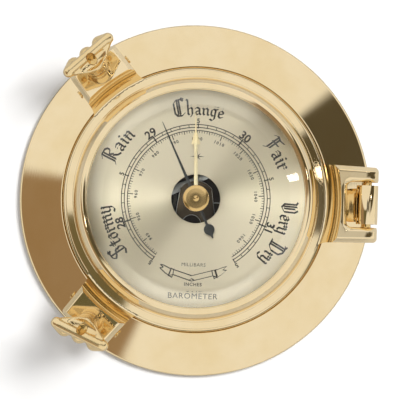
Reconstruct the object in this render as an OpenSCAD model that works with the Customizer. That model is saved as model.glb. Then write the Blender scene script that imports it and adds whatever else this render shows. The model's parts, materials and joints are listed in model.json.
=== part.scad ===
// Porthole barometer: a brass porthole with a hinged, glazed door over an aneroid barometer.
// The dial faces +Z, 12 o'clock is +Y, the hinge is at +X and the two dogs are at -X.
// The origin is on the dial's axis, in the plane that the back of the flange lies on.

/* [Flange and case] */
// Outside diameter of the wall flange
flange_d = 146; // [145:0.5:152]
// Thickness of the flange at its rim
flange_edge = 3.2; // [2.6:0.1:4]
// Rise of the conical face from the rim to the neck
flange_rise = 7.8; // [6:0.1:9]
// Height of the neck above the conical face
neck_h = 4; // [3.6:0.1:5]
// Wall of the cast flange
flange_wall = 2.6; // [2:0.1:3]
// Wall of the spun drum that holds the movement
drum_wall = 1; // [0.8:0.1:1.4]
// Thickness of the back cover
cover_t = 1.2; // [1:0.1:1.6]

/* [Door] */
// Outside diameter of the door ring
door_d = 106; // [105:0.5:108]
// Height of the door ring from its foot to its crown
door_h = 13.5; // [13:0.1:15]
// Height of the shelf round the foot of the door ring, at its inner side
shelf_h = 3.65; // [3.3:0.05:4]
// Fall of that shelf towards its rim
shelf_fall = 0.65; // [0.3:0.05:0.9]
// Width of that shelf
shelf_w = 3.6; // [3.2:0.1:3.8]
// Diameter of the glass that shows
view_d = 87.8; // [86:0.2:88.4]
// Thickness of the glass
glass_t = 3; // [2.4:0.1:3.2]
// Width of the bevel ground on the glass
bevel_w = 4.8; // [4:0.1:6]
// Depth of the bevel at the edge of the glass
bevel_t = 1; // [0.6:0.1:1.4]
// How far the glass reaches under the lip of the door
glass_lap = 2.2; // [1.8:0.1:2.4]

/* [Ears] */
// Radius at which the ridge of each ear stands
ridge_r = 58.5; // [57.5:0.1:59.5]
// Height of the ridge above the foot of the door
ridge_h = 9.7; // [9.2:0.1:10.4]
// Slope of the ear tops, away from the ridge
ear_slope = 12; // [9:0.5:14]
// Width of the chamfer along the top of an ear
ear_chamfer = 2; // [1:0.1:2.2]
// Width of a dog ear where it leaves the door
dog_ear_w = 23.4; // [22:0.1:26]
// Width of the hinge ear
hinge_ear_w = 31.6; // [30:0.1:34]

/* [Hinge] */
// How far the hinge axis lies inside the rim of the flange
hinge_in = 3; // [2.4:0.1:3.4]
// Radius of the hinge knuckle
knuckle_r = 4.4; // [4.1:0.1:4.8]
// Length of the knuckle on the flange
knuckle_len = 15.8; // [14:0.1:17]
// Room on each side of the knuckle, in which the pin shows
knuckle_gap = 1.3; // [0.5:0.1:1.8]
// Diameter of the hinge pin
hinge_pin_d = 3.6; // [3:0.1:4]

/* [Dogs] */
// Angle of each dog from 9 o'clock
dog_angle = 51; // [46:0.5:55]
// How far the dog stud, where it leaves its ear, lies inside the rim of the flange
dog_in = 6.6; // [6:0.1:7]
// Diameter of the dog stud
stud_d = 6; // [5.4:0.1:6.4]
// Diameter of the washer under each wing nut
washer_d = 9; // [8.4:0.1:12]
// Thickness of that washer
washer_t = 1.4; // [0.8:0.1:1.6]
// Span over the two wings of a nut
wing_span = 25.6; // [24:0.1:27]
// Height of a wing nut over its washer
wing_h = 15; // [13.5:0.1:16]
// Thickness of a wing at its lobe
wing_t = 6.4; // [5.4:0.1:7]
// How far the ridge along both wings stands out from the stud's axis
ridge_out = 3; // [2:0.1:3.6]
// Diameter of the hub of a wing nut where it bulges
hub_d = 9.2; // [8.6:0.1:10]
// Diameter of the cross pin that keeps a stud in its ear
cross_pin_d = 2.4; // [2:0.1:2.8]

/* [Dial and hands] */
// Diameter of the hole in the middle of the dial
dial_hole_d = 19.8; // [18:0.1:21]
// Thickness of the dial
dial_t = 0.8; // [0.6:0.1:1]
// Height of the dial's face above the seat of the door
dial_lift = 5.8; // [5.4:0.1:6.2]
// Reach of the indicating hand from the axis
hand_len = 34; // [30:0.5:38]
// Reach of its tail
tail_len = 17.4; // [15:0.2:19]
// Reach of the brass set hand from the axis
set_hand_len = 34.9; // [30:0.5:38]
// Diameter of the set knob
knob_d = 10.6; // [9:0.1:12]
// Thickness of the set knob
knob_t = 2.6; // [2:0.1:3.2]
// Angle of the indicating hand at rest, from 12 o'clock
hand_rest = 25.4; // [20:0.2:30]

/* [Movement] */
// Thickness of the aneroid capsule between its flat tops
capsule_t = 5; // [4:0.1:5.4]
// Room between the capsule and the foot of the hand's arbor
capsule_gap = 1; // [0.8:0.1:1.4]
// Room between the bend of the main spring and the drum
drum_gap = 2.8; // [2.4:0.1:3.4]
// Thickness of the plate that the movement stands on
plate_t = 1.5; // [1.2:0.1:1.8]
// Thickness of the C-shaped main spring
spring_t = 1.2; // [0.9:0.1:1.4]
// Width of the main spring at its bend
spring_w = 18; // [15:0.5:20]
// Diameter of the arbor that carries the indicating hand
arbor_d = 1.4; // [1.2:0.1:1.6]
// Radius of the chain drum on the arbor
drum_r = 0.9; // [0.85:0.05:1.1]
// Distance of the rocking shaft from the arbor
rocker_x = 19; // [18:0.1:20]
// Turns of the hairspring
hair_turns = 4; // [3:1:5]

/* [Hidden] */
$fn = 96;

// Clearances
door_gap = 0.3;
run_fit = 0.06;
slip_fit = 0.2;
eps = 0.01;

// Levels
flange_r = flange_d / 2;
door_r = door_d / 2;
view_r = view_d / 2;
seat_z = flange_edge + flange_rise + neck_h;
door_z = seat_z + door_gap;
crown_z = door_z + door_h;
glass_r = view_r + glass_lap;
lip_t = 1.2;
glass_top = crown_z - lip_t - 0.3;
glass_z = glass_top - glass_t;
dial_top = seat_z + dial_lift;
dial_z = dial_top - dial_t;
cover_top = cover_t;
plate_top = cover_top + plate_t;

// Radii of the case, from the glass outwards
glass_bore_r = glass_r + slip_fit;
door_bore_r = glass_bore_r + 0.6;
drum_out_r = door_bore_r - 1.1;
drum_in_r = drum_out_r - drum_wall;
case_bore_r = drum_out_r + slip_fit;
neck_r = door_r - 1;
lip_w = 3.4;
cover_r = drum_out_r + lip_w;
lip_drum_t = 0.8;

// Ears, hinge and dogs
hinge_x = flange_r - hinge_in;
dog_r = flange_r - dog_in;
ridge_z = door_z + ridge_h;
tan_slope = tan(ear_slope);
hinge_top = ridge_z - (hinge_x - ridge_r) * tan_slope;
hinge_z = hinge_top - knuckle_r / cos(ear_slope);
notch_w = knuckle_len + 2 * knuckle_gap;
notch_x = hinge_x - knuckle_r - 4.2;
dog_seat_z = ridge_z - (dog_r - ridge_r) * tan_slope;
dog_ear_end = dog_r + 4.2;
tip_r = stud_d / 2 - 0.8;
tip_drop = 2.2;
groove_depth = 4.6;
groove_r = stud_d / 2 - 0.9;
cross_pin_off = groove_r + cross_pin_d / 2 + 0.08;
lug_w = 14;
lug_top = door_z - door_gap;

function arc(c, r, a0, a1, n) = [for (i = [0:n]) let(a = a0 + (a1 - a0) * i / n) c + r * [cos(a), sin(a)]];
function polar(r, a) = [r * cos(a), r * sin(a)];

module tube(r_out, r_in, z0, z1) {
  translate([0, 0, z0])
    difference() {
      cylinder(r = r_out, h = z1 - z0);
      translate([0, 0, -eps]) cylinder(r = r_in, h = z1 - z0 + 2 * eps);
    }
}

module rod(r, z0, z1) {
  translate([0, 0, z0]) cylinder(r = r, h = z1 - z0);
}

// A cheese-head screw that points down, with the underside of its slotted head at z = 0
module screw(shank_r, length, head_r, head_h) {
  difference() {
    union() {
      rod(head_r, 0, head_h);
      rod(shank_r, -length, eps);
    }
    translate([-head_r - eps, -0.3, head_h * 0.55]) cube([2 * head_r + 2 * eps, 0.6, head_h]);
  }
}

module at_dog(side) {
  rotate([0, 0, side * (180 - dog_angle)]) children();
}

// The frame of a dog: its origin is where the stud leaves the ear, and +Z is the stud's axis
module on_dog(side) {
  at_dog(side) translate([dog_r, 0, dog_seat_z]) rotate([0, ear_slope, 0]) children();
}

// The cast wall flange: a rolled rim, a conical face, the neck that the door shuts on, and two dog lugs
module flange_ring() {
  rim_r = flange_edge / 2;
  foot_r = door_r + 1.6;
  under = flange_wall;
  color("gold")
    difference() {
      union() {
        rotate_extrude($fn = 180)
          polygon(concat(
            [[case_bore_r - 1, 0], [cover_r + 3, 0], [cover_r + 3, flange_edge],
             [foot_r - 1, flange_edge + flange_rise - 0.4 - 1.1 * under],
             [flange_r - 3.2, 0.9], [flange_r - 3, 0]],
            arc([flange_r - rim_r, rim_r], rim_r, -90, 66, 10),
            [[foot_r, flange_edge + flange_rise - 0.4], [neck_r, flange_edge + flange_rise + 0.6],
             [neck_r, seat_z - 0.4], [neck_r - 0.4, seat_z], [case_bore_r - 1, seat_z]]
          ));
        for (side = [-1, 1]) at_dog(side) dog_lug();
        hinge_pad();
      }
      translate([0, 0, -1]) cylinder(r = case_bore_r, h = seat_z + 2);
      // Seats of the drum's lip and of the back cover
      translate([0, 0, -1]) cylinder(r = cover_r + slip_fit, h = 1 + cover_top + lip_drum_t);
      for (side = [-1, 1]) on_dog(side) rod(tip_r + 1, -lug_reach() - tip_drop - 1.6, 0);
      hinge_pocket();
      for (a = cover_screw_angles()) rotate([0, 0, a]) translate([cover_screw_r(), 0, 0])
        rod(cover_screw_shank_r, cover_top - 1, cover_top + cover_screw_l - 0.6);
    }
}

// Length of the stud's axis from the top of its ear down to the top of its lug
function lug_reach() = (dog_seat_z - lug_top) / cos(ear_slope);
function cover_screw_angles() = [45, 135, 225, 315];
function cover_screw_r() = cover_r - 1.9;

module dog_lug() {
  lug_end = dog_r + 1.8;
  translate([0, 0, flange_edge - 1])
    linear_extrude(lug_top - flange_edge + 1)
      intersection() {
        translate([neck_r - 3, -lug_w / 2]) square([lug_end - neck_r + 3, lug_w]);
        translate([lug_end - lug_w, 0]) circle(r = lug_w);
      }
}

foot_x = hinge_x - 3.4;
foot_l = 8;
foot_w = 14;
pocket_z = flange_edge + 1;
foot_screw_y = 4.4;

module hinge_pad() {
  translate([foot_x - foot_l / 2 - 2, -foot_w / 2 - 2.5, 0.9]) cube([foot_l + 2.6, foot_w + 5, pocket_z - 0.9]);
}

module hinge_pocket() {
  translate([foot_x - foot_l / 2, -foot_w / 2, pocket_z]) cube([foot_l + 4, foot_w, 20]);
  for (s = [-1, 1]) translate([foot_x, s * foot_screw_y, 0]) {
    rod(1.3, 0.5, pocket_z + 1);
    rod(2.5, 0, 2.1);
  }
}

// The knuckle and the post that stands it on the flange
module hinge_bracket() {
  post_t = 5;
  color("goldenrod")
    difference() {
      union() {
        translate([hinge_x, knuckle_len / 2, hinge_z]) rotate([90, 0, 0]) cylinder(r = knuckle_r, h = knuckle_len);
        translate([foot_x - foot_l / 2 + 0.1, -foot_w / 2 + 0.1, pocket_z]) cube([foot_l - 0.1, foot_w - 0.2, 2.2]);
        rotate([90, 0, 0])
          translate([0, 0, -foot_w / 2 + 0.1])
            linear_extrude(foot_w - 0.2)
              polygon([[foot_x + foot_l / 2, pocket_z], [hinge_x + knuckle_r, hinge_z],
                       [hinge_x + knuckle_r - post_t - 1, hinge_z], [foot_x - foot_l / 2 + 1.4, pocket_z + 2]]);
      }
      translate([hinge_x, knuckle_len, hinge_z]) rotate([90, 0, 0])
        cylinder(r = hinge_pin_d / 2 + run_fit, h = 2 * knuckle_len);
      for (s = [-1, 1]) translate([foot_x, s * foot_screw_y, 0]) rod(0.95, pocket_z - 1, pocket_z + 4.5);
    }
}

module hinge_bracket_screws() {
  color("gold")
    for (s = [-1, 1]) translate([foot_x, s * foot_screw_y, 2.1]) mirror([0, 0, 1]) screw(0.95, 6, 2.2, 1.4);
}

// The spun drum: its lip is held between the flange and the back cover, and the dial lies on its mouth
module case_drum() {
  color("darkgoldenrod") {
    tube(drum_out_r, drum_in_r, cover_top, dial_z);
    difference() {
      tube(cover_r, drum_out_r - 0.5, cover_top, cover_top + lip_drum_t);
      for (a = cover_screw_angles()) rotate([0, 0, a]) translate([cover_screw_r(), 0, 0]) rod(1.3, 0, seat_z);
    }
  }
}

cover_head_r = 1.7;
cover_head_h = 0.5;
cover_screw_shank_r = 1.05;
cover_screw_l = 5;
vent_r = 1;
vent_step = 5;
vent_y = 30;
keyhole_y = 36;
keyhole_d = 8;
keyhole_slot = 4.2;
keyhole_rise = 5.5;

// The back cover, with a keyhole to hang by, a hole over the adjusting screw and vent holes
module back_cover() {
  color("peru")
    difference() {
      rod(cover_r, 0, cover_top);
      translate([0, keyhole_y, 0]) rod(keyhole_d / 2, -1, cover_top + 1);
      translate([-keyhole_slot / 2, keyhole_y, -1]) cube([keyhole_slot, keyhole_rise, cover_top + 2]);
      translate([0, keyhole_y + keyhole_rise, 0]) rod(keyhole_slot / 2, -1, cover_top + 1);
      translate([-capsule_x, 0, 0]) rod(adjuster_head_r + 0.4, -1, cover_top + 1);
      for (i = [-2:2]) translate([i * vent_step, -vent_y, 0]) rod(vent_r, -1, cover_top + 1);
      for (p = movement_screw_places()) translate(p) rod(1, -1, cover_top + 1);
      for (a = cover_screw_angles()) rotate([0, 0, a]) translate([cover_screw_r(), 0, 0]) {
        rod(1.3, -1, cover_top + 1);
        rod(cover_head_r + 0.1, -1, cover_head_h + 0.1);
      }
    }
}

module back_cover_screws() {
  color("gold")
    for (a = cover_screw_angles()) rotate([0, 0, a]) translate([cover_screw_r(), 0, cover_head_h + 0.1])
      mirror([0, 0, 1]) screw(cover_screw_shank_r, cover_screw_l, cover_head_r, cover_head_h);
}

module dial() {
  color("beige")
    tube(drum_out_r - 0.1, dial_hole_d / 2, dial_z, dial_top);
}

// A thin ring that holds the dial down on the mouth of the drum
module dial_retaining_ring() {
  color("goldenrod")
    tube(drum_out_r - 0.1, drum_in_r + 0.2, dial_top, dial_top + 0.5);
}

movement_w = 44;
movement_screw_y = 17;
movement_screw_off = 7;
function movement_screw_places() =
  [for (x = [-capsule_x - capsule_r + 0.6, rocker_x + movement_screw_off], y = [-1, 1]) [x, y * movement_screw_y, 0]];

module movement_plate() {
  x0 = -capsule_x - capsule_r - 9;
  x1 = rocker_x + movement_screw_off + 3;
  color("darkgray")
    difference() {
      translate([0, 0, cover_top])
        linear_extrude(plate_t)
          intersection() {
            translate([x0, -movement_w / 2]) square([x1 - x0, movement_w]);
            circle(r = drum_in_r - 1);
          }
      translate([-capsule_x, 0, 0]) rod(adjuster_r + slip_fit, 0, plate_top + 1);
      for (p = movement_screw_places()) translate(p) rod(1.25, 0, plate_top + 1);
      for (p = pillar_places()) translate(p) rod(0.9, 0, plate_top + 1);
      for (s = [-1, 1]) translate([spring_foot_x(), s * spring_screw_y, 0]) rod(0.85, 0, plate_top + 1);
    }
}

module movement_screws() {
  color("silver")
    for (p = movement_screw_places()) translate([p[0], p[1], plate_top]) screw(1, plate_t + cover_t, 2, 1.2);
}

adjuster_r = 1.5;
adjuster_head_r = 2.2;
arbor_foot_r = 2.4;
capsule_z = plate_top + 1;
capsule_top = capsule_z + capsule_t;
spring_z = capsule_top + 1.6;
spring_top = spring_z + spring_t;
bend_r = (spring_top - plate_top) / 2;
bend_gap = 3;
// The capsule takes the room between the foot of the arbor and the bend of the main spring
capsule_r = (drum_in_r - drum_gap - bend_r - bend_gap - arbor_foot_r - capsule_gap) / 2;
capsule_x = capsule_r + arbor_foot_r + capsule_gap;
post_r = 1.5;

// The corrugated capsule, with its threaded foot below and its post above
module aneroid_capsule() {
  waves = 4;
  wave_from = 3.4;
  wave_d = 0.35;
  n = 32;
  step = (capsule_r - 1.6 - wave_from) / n;
  function swell(i) = wave_d * (1 - cos(360 * waves * i / n)) / 2;
  color("lightgray")
    translate([-capsule_x, 0, 0])
      difference() {
        union() {
          rotate_extrude()
            polygon(concat(
              [[0, capsule_z], [wave_from, capsule_z]],
              [for (i = [1:n - 1]) [wave_from + step * i, capsule_z + swell(i)]],
              [[capsule_r - 1.2, capsule_z], [capsule_r - 0.6, capsule_z + 1.6], [capsule_r, capsule_z + 1.9],
               [capsule_r, capsule_top - 1.9], [capsule_r - 0.6, capsule_top - 1.6], [capsule_r - 1.2, capsule_top]],
              [for (i = [n - 1:-1:1]) [wave_from + step * i, capsule_top - swell(i)]],
              [[wave_from, capsule_top], [0, capsule_top]]
            ));
          rod(3.2, plate_top, capsule_z + eps);
          rod(post_r, capsule_top - eps, spring_top + 1.6);
        }
        // The knife-edge pin's cross hole, and the tapped foot
        translate([0, 5, spring_top + 0.7]) rotate([90, 0, 0]) cylinder(r = 0.4, h = 10);
        rod(adjuster_r + run_fit, 0, plate_top + 0.8);
      }
}

spring_pad = 4;
bend_x = -capsule_x - capsule_r - bend_gap;
function spring_foot_x() = bend_x - 1.2 + 0.9;
spring_screw_y = spring_w / 2 + 3;

// The C-shaped main spring: foot, bend and a leaf that tapers over the capsule to its post
module main_spring() {
  leaf_end = -capsule_x + 3.4;
  color("slategray")
    difference() {
      union() {
        rotate([90, 0, 0])
          translate([0, 0, -spring_w / 2])
            linear_extrude(spring_w) {
              difference() {
                translate([bend_x, plate_top + bend_r]) circle(r = bend_r);
                translate([bend_x, plate_top + bend_r]) circle(r = bend_r - spring_t);
                translate([bend_x, plate_top - 1]) square([bend_r + 1, 2 * bend_r + 2]);
              }
              translate([bend_x - eps, plate_top]) square([1.7, spring_t]);
            }
        translate([0, 0, spring_z])
          linear_extrude(spring_t)
            polygon([[bend_x - eps, -spring_w / 2], [leaf_end, -3], [leaf_end, 3], [bend_x - eps, spring_w / 2]]);
        translate([spring_foot_x() - spring_pad / 2, -spring_screw_y - spring_pad / 2 - 0.4, plate_top])
          cube([spring_pad - 0.1, 2 * spring_screw_y + spring_pad + 0.8, spring_t]);
      }
      translate([-capsule_x, 0, 0]) rod(post_r + 0.15, spring_z - 1, spring_top + 1);
      for (s = [-1, 1]) translate([spring_foot_x(), s * spring_screw_y, 0]) rod(1, plate_top - 1, spring_top);
    }
}

module main_spring_screws() {
  color("silver")
    for (s = [-1, 1]) translate([spring_foot_x(), s * spring_screw_y, plate_top + spring_t])
      screw(0.85, spring_t + plate_t, 1.7, 1);
}

bridge_t = 1.2;
bridge_under = 3.4;
bridge_screw_in = 2.4;
bridge_z = dial_z - bridge_under;
bridge_foot_y = -18.6;
pillar_x = 9;
pillar_r = 1.8;
function pillar_places() = [[-pillar_x, bridge_foot_y, 0], [pillar_x, bridge_foot_y, 0]];

module bridge_pillars() {
  color("silver")
    for (p = pillar_places()) translate(p) difference() {
      union() {
        rod(pillar_r, plate_top, bridge_z);
        rod(0.85, cover_top + 0.3, plate_top + eps);
      }
      rod(0.6, bridge_z - bridge_screw_in - 0.6, bridge_z + 1);
    }
}

// The bridge that holds the arbor's upper pivot, as it shows in the hole of the dial
module arbor_bridge() {
  tongue_top = 7.6;
  shoulder_y = 3.4;
  color("silver")
    difference() {
      union() {
        translate([0, 0, bridge_z])
          linear_extrude(bridge_t)
            difference() {
              union() {
                polygon([[-6.6, shoulder_y], [-8, -6], [-pillar_x - 3, bridge_foot_y - 3],
                         [pillar_x + 3, bridge_foot_y - 3], [8, -6], [6.6, shoulder_y]]);
                intersection() {
                  translate([0, shoulder_y - 4]) circle(r = tongue_top - shoulder_y + 4);
                  translate([-6.6, shoulder_y - 1]) square([13.2, 8]);
                }
              }
              translate([-1.4, -10.4]) circle(r = 3.8);
            }
        rod(2.2, bridge_z + bridge_t - eps, bridge_z + bridge_t + 0.5);
      }
      rod(arbor_d / 2 + run_fit, bridge_z - 1, bridge_z + bridge_t + 2);
      for (p = pillar_places()) translate(p) rod(0.8, bridge_z - 1, bridge_z + bridge_t + 1);
    }
}

module bridge_screws() {
  color("lightgray")
    for (p = pillar_places()) translate([p[0], p[1], bridge_z + bridge_t])
      screw(0.6, bridge_t + bridge_screw_in, 1.5, 0.8);
}

foot_rise = 6;
foot_top = plate_top + foot_rise;

// The post with the arbor's lower pivot hole
module arbor_foot() {
  color("tan")
    difference() {
      union() {
        rod(arbor_foot_r, plate_top, foot_top - 1);
        rod(1.7, foot_top - 1 - eps, foot_top);
      }
      rod(arbor_d / 2 - 0.3 + run_fit, foot_top - 2.2, foot_top + 1);
    }
}

drum_z = bridge_z - 4.6;
drum_h = 1.6;
hair_z = bridge_z - 2;

// The arbor: it carries the chain drum, the hairspring's collet and, above the dial, the hand
module needle_arbor() {
  color("lightyellow") {
    rod(arbor_d / 2 - 0.3, foot_top - 2, foot_top + 0.3);
    rod(arbor_d / 2, foot_top + 0.2, dial_top + 1.9);
    difference() {
      rod(drum_r + 0.5, drum_z - 0.3, drum_z + drum_h + 0.3);
      tube(drum_r + 2, drum_r, drum_z, drum_z + drum_h);
    }
  }
}

hair_in = 1.5;
hair_pitch = 0.95;
hair_w = 0.12;
hair_h = 0.5;
hair_out = hair_in + hair_pitch * hair_turns;
echo(hairspring_least_gap = hair_pitch - hair_w);

// The hairspring: one flat spiral from its collet to the stud under the bridge
module hairspring() {
  steps = 24 * hair_turns;
  function spiral(i, off) = polar(hair_in + hair_pitch * hair_turns * i / steps + off, 90 + 360 * hair_turns * i / steps);
  color("steelblue") {
    translate([0, 0, hair_z])
      linear_extrude(hair_h)
        polygon(concat(
          [for (i = [0:steps]) spiral(i, -hair_w / 2)],
          [for (i = [steps:-1:0]) spiral(i, hair_w / 2)]
        ));
    tube(hair_in + 0.02, arbor_d / 2 + 0.1, hair_z, hair_z + hair_h);
    translate([0, hair_out + 0.3, 0]) rod(0.45, hair_z - 0.3, bridge_z);
  }
}

// The black hand: a long needle, a boss and a spade-shaped tail
module indicating_hand() {
  hand_z = dial_top + 1.3;
  hand_t = 0.35;
  leaf_w = 4.4;
  leaf_y = 11.4;
  leaf_mid = [0, -leaf_y - leaf_w / 2];
  color("black")
    rotate([0, 0, hand_rest])
      difference() {
        union() {
          translate([0, 0, hand_z])
            linear_extrude(hand_t)
              polygon(concat(
                [[-0.75, 0], [-0.12, hand_len], [0.12, hand_len], [0.75, 0], [0.5, -leaf_y + 0.2]],
                [for (a = [70:-20:-30]) leaf_mid + leaf_w / 2 * [cos(a), sin(a)]],
                [[0.5, -tail_len + 1.2], [0.3, -tail_len], [-0.3, -tail_len], [-0.5, -tail_len + 1.2]],
                [for (a = [210:-20:110]) leaf_mid + leaf_w / 2 * [cos(a), sin(a)]],
                [[-0.5, -leaf_y + 0.2]]
              ));
          rod(1.9, hand_z - 0.3, hand_z + 0.5);
        }
        rod(arbor_d / 2, hand_z - 1, hand_z + 2);
      }
}

shaft_z = plate_top + 3.6;
shaft_r = 0.9;
shaft_over = 1.2;
bearing_ys = [-8, 18];
bearing_t = 2;
bearing_r = 2;
bearing_foot = 4;
arm_y = -drum_r - 0.12;
link_y = 14;
crank_l = 3;
arm_top = drum_z + drum_h / 2;
arm_w = 1.4;
arm_t = 0.8;
crank_pin_r = 0.5;
eye_room = 0.6;
eye_wall = 0.7;

// A cylinder along Y from y0 to y1, at a place in the XZ plane
module cross_rod(x, z, r, y0, y1) {
  translate([x, y1, z]) rotate([90, 0, 0]) cylinder(r = r, h = y1 - y0);
}

// The rocking shaft, with the long arm that draws the chain and the crank that the link turns
module rocking_shaft() {
  shaft_end = bearing_t / 2 + shaft_over;
  color("lightsteelblue") {
    cross_rod(rocker_x, shaft_z, shaft_r, bearing_ys[0] - shaft_end, bearing_ys[1] + shaft_end);
    translate([rocker_x - arm_w / 2, arm_y - arm_t / 2, shaft_z]) cube([arm_w, arm_t, arm_top - shaft_z]);
    cross_rod(rocker_x, arm_top, arm_w / 2, arm_y - arm_t / 2, arm_y + arm_t / 2);
    translate([rocker_x - crank_l, link_y - 0.5, shaft_z - 0.6]) cube([crank_l, 1, 1.2]);
    cross_rod(rocker_x - crank_l, shaft_z, crank_pin_r, link_y - 0.5, link_y + 1.6);
  }
}

// Two lugs with the rocking shaft's bearings
module rocker_bearings() {
  color("tan")
    for (y = bearing_ys)
      difference() {
        union() {
          translate([rocker_x - bearing_r, y - bearing_t / 2, plate_top])
            cube([2 * bearing_r, bearing_t, shaft_z - plate_top]);
          translate([rocker_x - bearing_r, y - bearing_t / 2, plate_top])
            cube([bearing_r + bearing_foot, bearing_t, spring_t]);
          cross_rod(rocker_x, shaft_z, bearing_r, y - bearing_t / 2, y + bearing_t / 2);
        }
        cross_rod(rocker_x, shaft_z, shaft_r + run_fit, y - bearing_t, y + bearing_t);
      }
}

chain_t = 0.3;

// The fine chain from the rocking arm to the arbor's drum: flat links on alternate sides
module chain() {
  from_x = 0.2;
  to_x = rocker_x - 1.1;
  links = 9;
  pitch = (to_x - from_x) / links;
  color("gray")
    for (i = [0:links - 1])
      translate([from_x + pitch * i - (i > 0 ? 0.2 : 0), arm_y - chain_t - 0.02, arm_top - 0.45])
        cube([pitch + (i > 0 ? 0.2 : 0), i % 2 == 0 ? chain_t : chain_t - 0.08, 0.9]);
}

eye_r = crank_pin_r + eye_room + eye_wall;
link_t = 0.5;
lever_x = -capsule_x + 1.6;
lever_tip_x = rocker_x - crank_l;

// The lever on the spring's leaf, and the link that hangs from its tip to the crank
module pressure_lever() {
  lever_z = spring_top + 0.3;
  lever_t = 0.8;
  reach = [lever_tip_x - lever_x, link_y + 1.1];
  span = norm(reach);
  color("lightsteelblue") {
    translate([lever_x, 0, lever_z])
      rotate([0, 0, atan2(reach[1], reach[0])])
        translate([2, 0, 0])
          linear_extrude(lever_t) polygon([[0, -2], [span - 2, -0.8], [span - 1, 0], [span - 2, 0.8], [0, 2]]);
    // The link down to the crank, and the eye round the crank's pin
    translate([lever_tip_x - 0.5, link_y + 0.8, shaft_z + eye_r - eye_wall / 2])
      cube([1, link_t, lever_z - shaft_z - eye_r + eye_wall / 2 + eps]);
    difference() {
      cross_rod(lever_tip_x, shaft_z, eye_r, link_y + 0.8, link_y + 0.8 + link_t);
      cross_rod(lever_tip_x, shaft_z, crank_pin_r + eye_room, link_y, link_y + 3);
    }
  }
}

// The screw that sets the capsule's height, reached through the back cover
module adjusting_screw() {
  color("gold")
    difference() {
      union() {
        translate([-capsule_x, 0, 0]) rod(adjuster_head_r, 0.1, cover_top - 0.15);
        translate([-capsule_x, 0, 0]) rod(adjuster_r, cover_top - 0.2, plate_top + 0.7);
      }
      translate([-capsule_x - 3, -0.35, 0]) cube([6, 0.7, 0.6]);
    }
}

function slope_z(x) = ridge_z - (x - ridge_r) * tan_slope;

// The side view of a dog ear, along its length, with a chamfered end
dog_side_view = [
  [door_r - 6, door_z], [dog_ear_end, door_z], [dog_ear_end, slope_z(dog_ear_end) - ear_chamfer],
  [dog_ear_end - ear_chamfer, slope_z(dog_ear_end - ear_chamfer)], [door_r - 6, slope_z(door_r - 6)]
];

// The side view of the hinge ear, whose end is rounded about the hinge axis
hinge_side_view = concat(
  [[door_r - 6, door_z]],
  arc([hinge_x, hinge_z], knuckle_r, asin((door_z - hinge_z) / knuckle_r) * -1 - 180, 90 - ear_slope, 18),
  [[door_r - 6, slope_z(door_r - 6)]]
);

// An ear that reaches outwards along +X from the door ring, still uncut by the cove:
// its plan, its side view and its chamfered cross-section meet in one block
module ear_block(w, x1, side_view) {
  half = w / 2;
  draft = 0.6;
  corner = 1.6;
  deep = 30;
  c = ear_chamfer;
  intersection() {
    translate([0, 0, door_z - 6])
      linear_extrude(deep)
        polygon([[door_r - 4, -half], [x1 - corner, draft - half], [x1, draft + corner - half],
                 [x1, half - draft - corner], [x1 - corner, half - draft], [door_r - 4, half]]);
    translate([0, w, 0]) rotate([90, 0, 0]) linear_extrude(2 * w) polygon(side_view);
    translate([ridge_r, 0, ridge_z]) rotate([0, ear_slope, 0]) rotate([90, 0, 90]) translate([0, 0, -deep / 2])
      linear_extrude(deep + w)
        polygon([[-half - 2, -deep], [half + 2, -deep], [half + 2, -c - 2], [half - c, 0],
                 [c - half, 0], [-half - 2, -c - 2]]);
  }
}

shelf_z = door_z + shelf_h;
rim_z = shelf_z - shelf_fall;
shelf_in_r = door_r - shelf_w;

// The cove that rises from the shelf to the ridge of every ear, turned about the dial's axis
module cove_cut() {
  rotate_extrude($fn = 180)
    polygon(concat(
      [[shelf_in_r - 2, ridge_z + 6], [shelf_in_r - 2, shelf_z], [shelf_in_r + 0.5, shelf_z], [door_r - 0.6, rim_z]],
      arc_between([door_r + 0.3, rim_z], [ridge_r, ridge_z], 9, 8),
      [[ridge_r, ridge_z + 6]]
    ));
}

bevel_from = view_r - bevel_w;
lip_z = glass_top - bevel_t * (view_r - bevel_from) / (glass_r - bevel_from) + 0.05;
gasket_t = 0.5;
ring_t = 1.6;

// The arc of radius r from a to b whose centre lies to the left of the way
function arc_between(a, b, r, n) =
  let(way = b - a, l = norm(way), c = (a + b) / 2 + sqrt(r * r - l * l / 4) * [-way[1], way[0]] / l,
      a0 = atan2(a[1] - c[1], a[0] - c[0]), a1 = atan2(b[1] - c[1], b[0] - c[0]),
      sweep = (a1 - a0 + 540) % 360 - 180)
  arc(c, r, a0, a0 + sweep, n);

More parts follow.
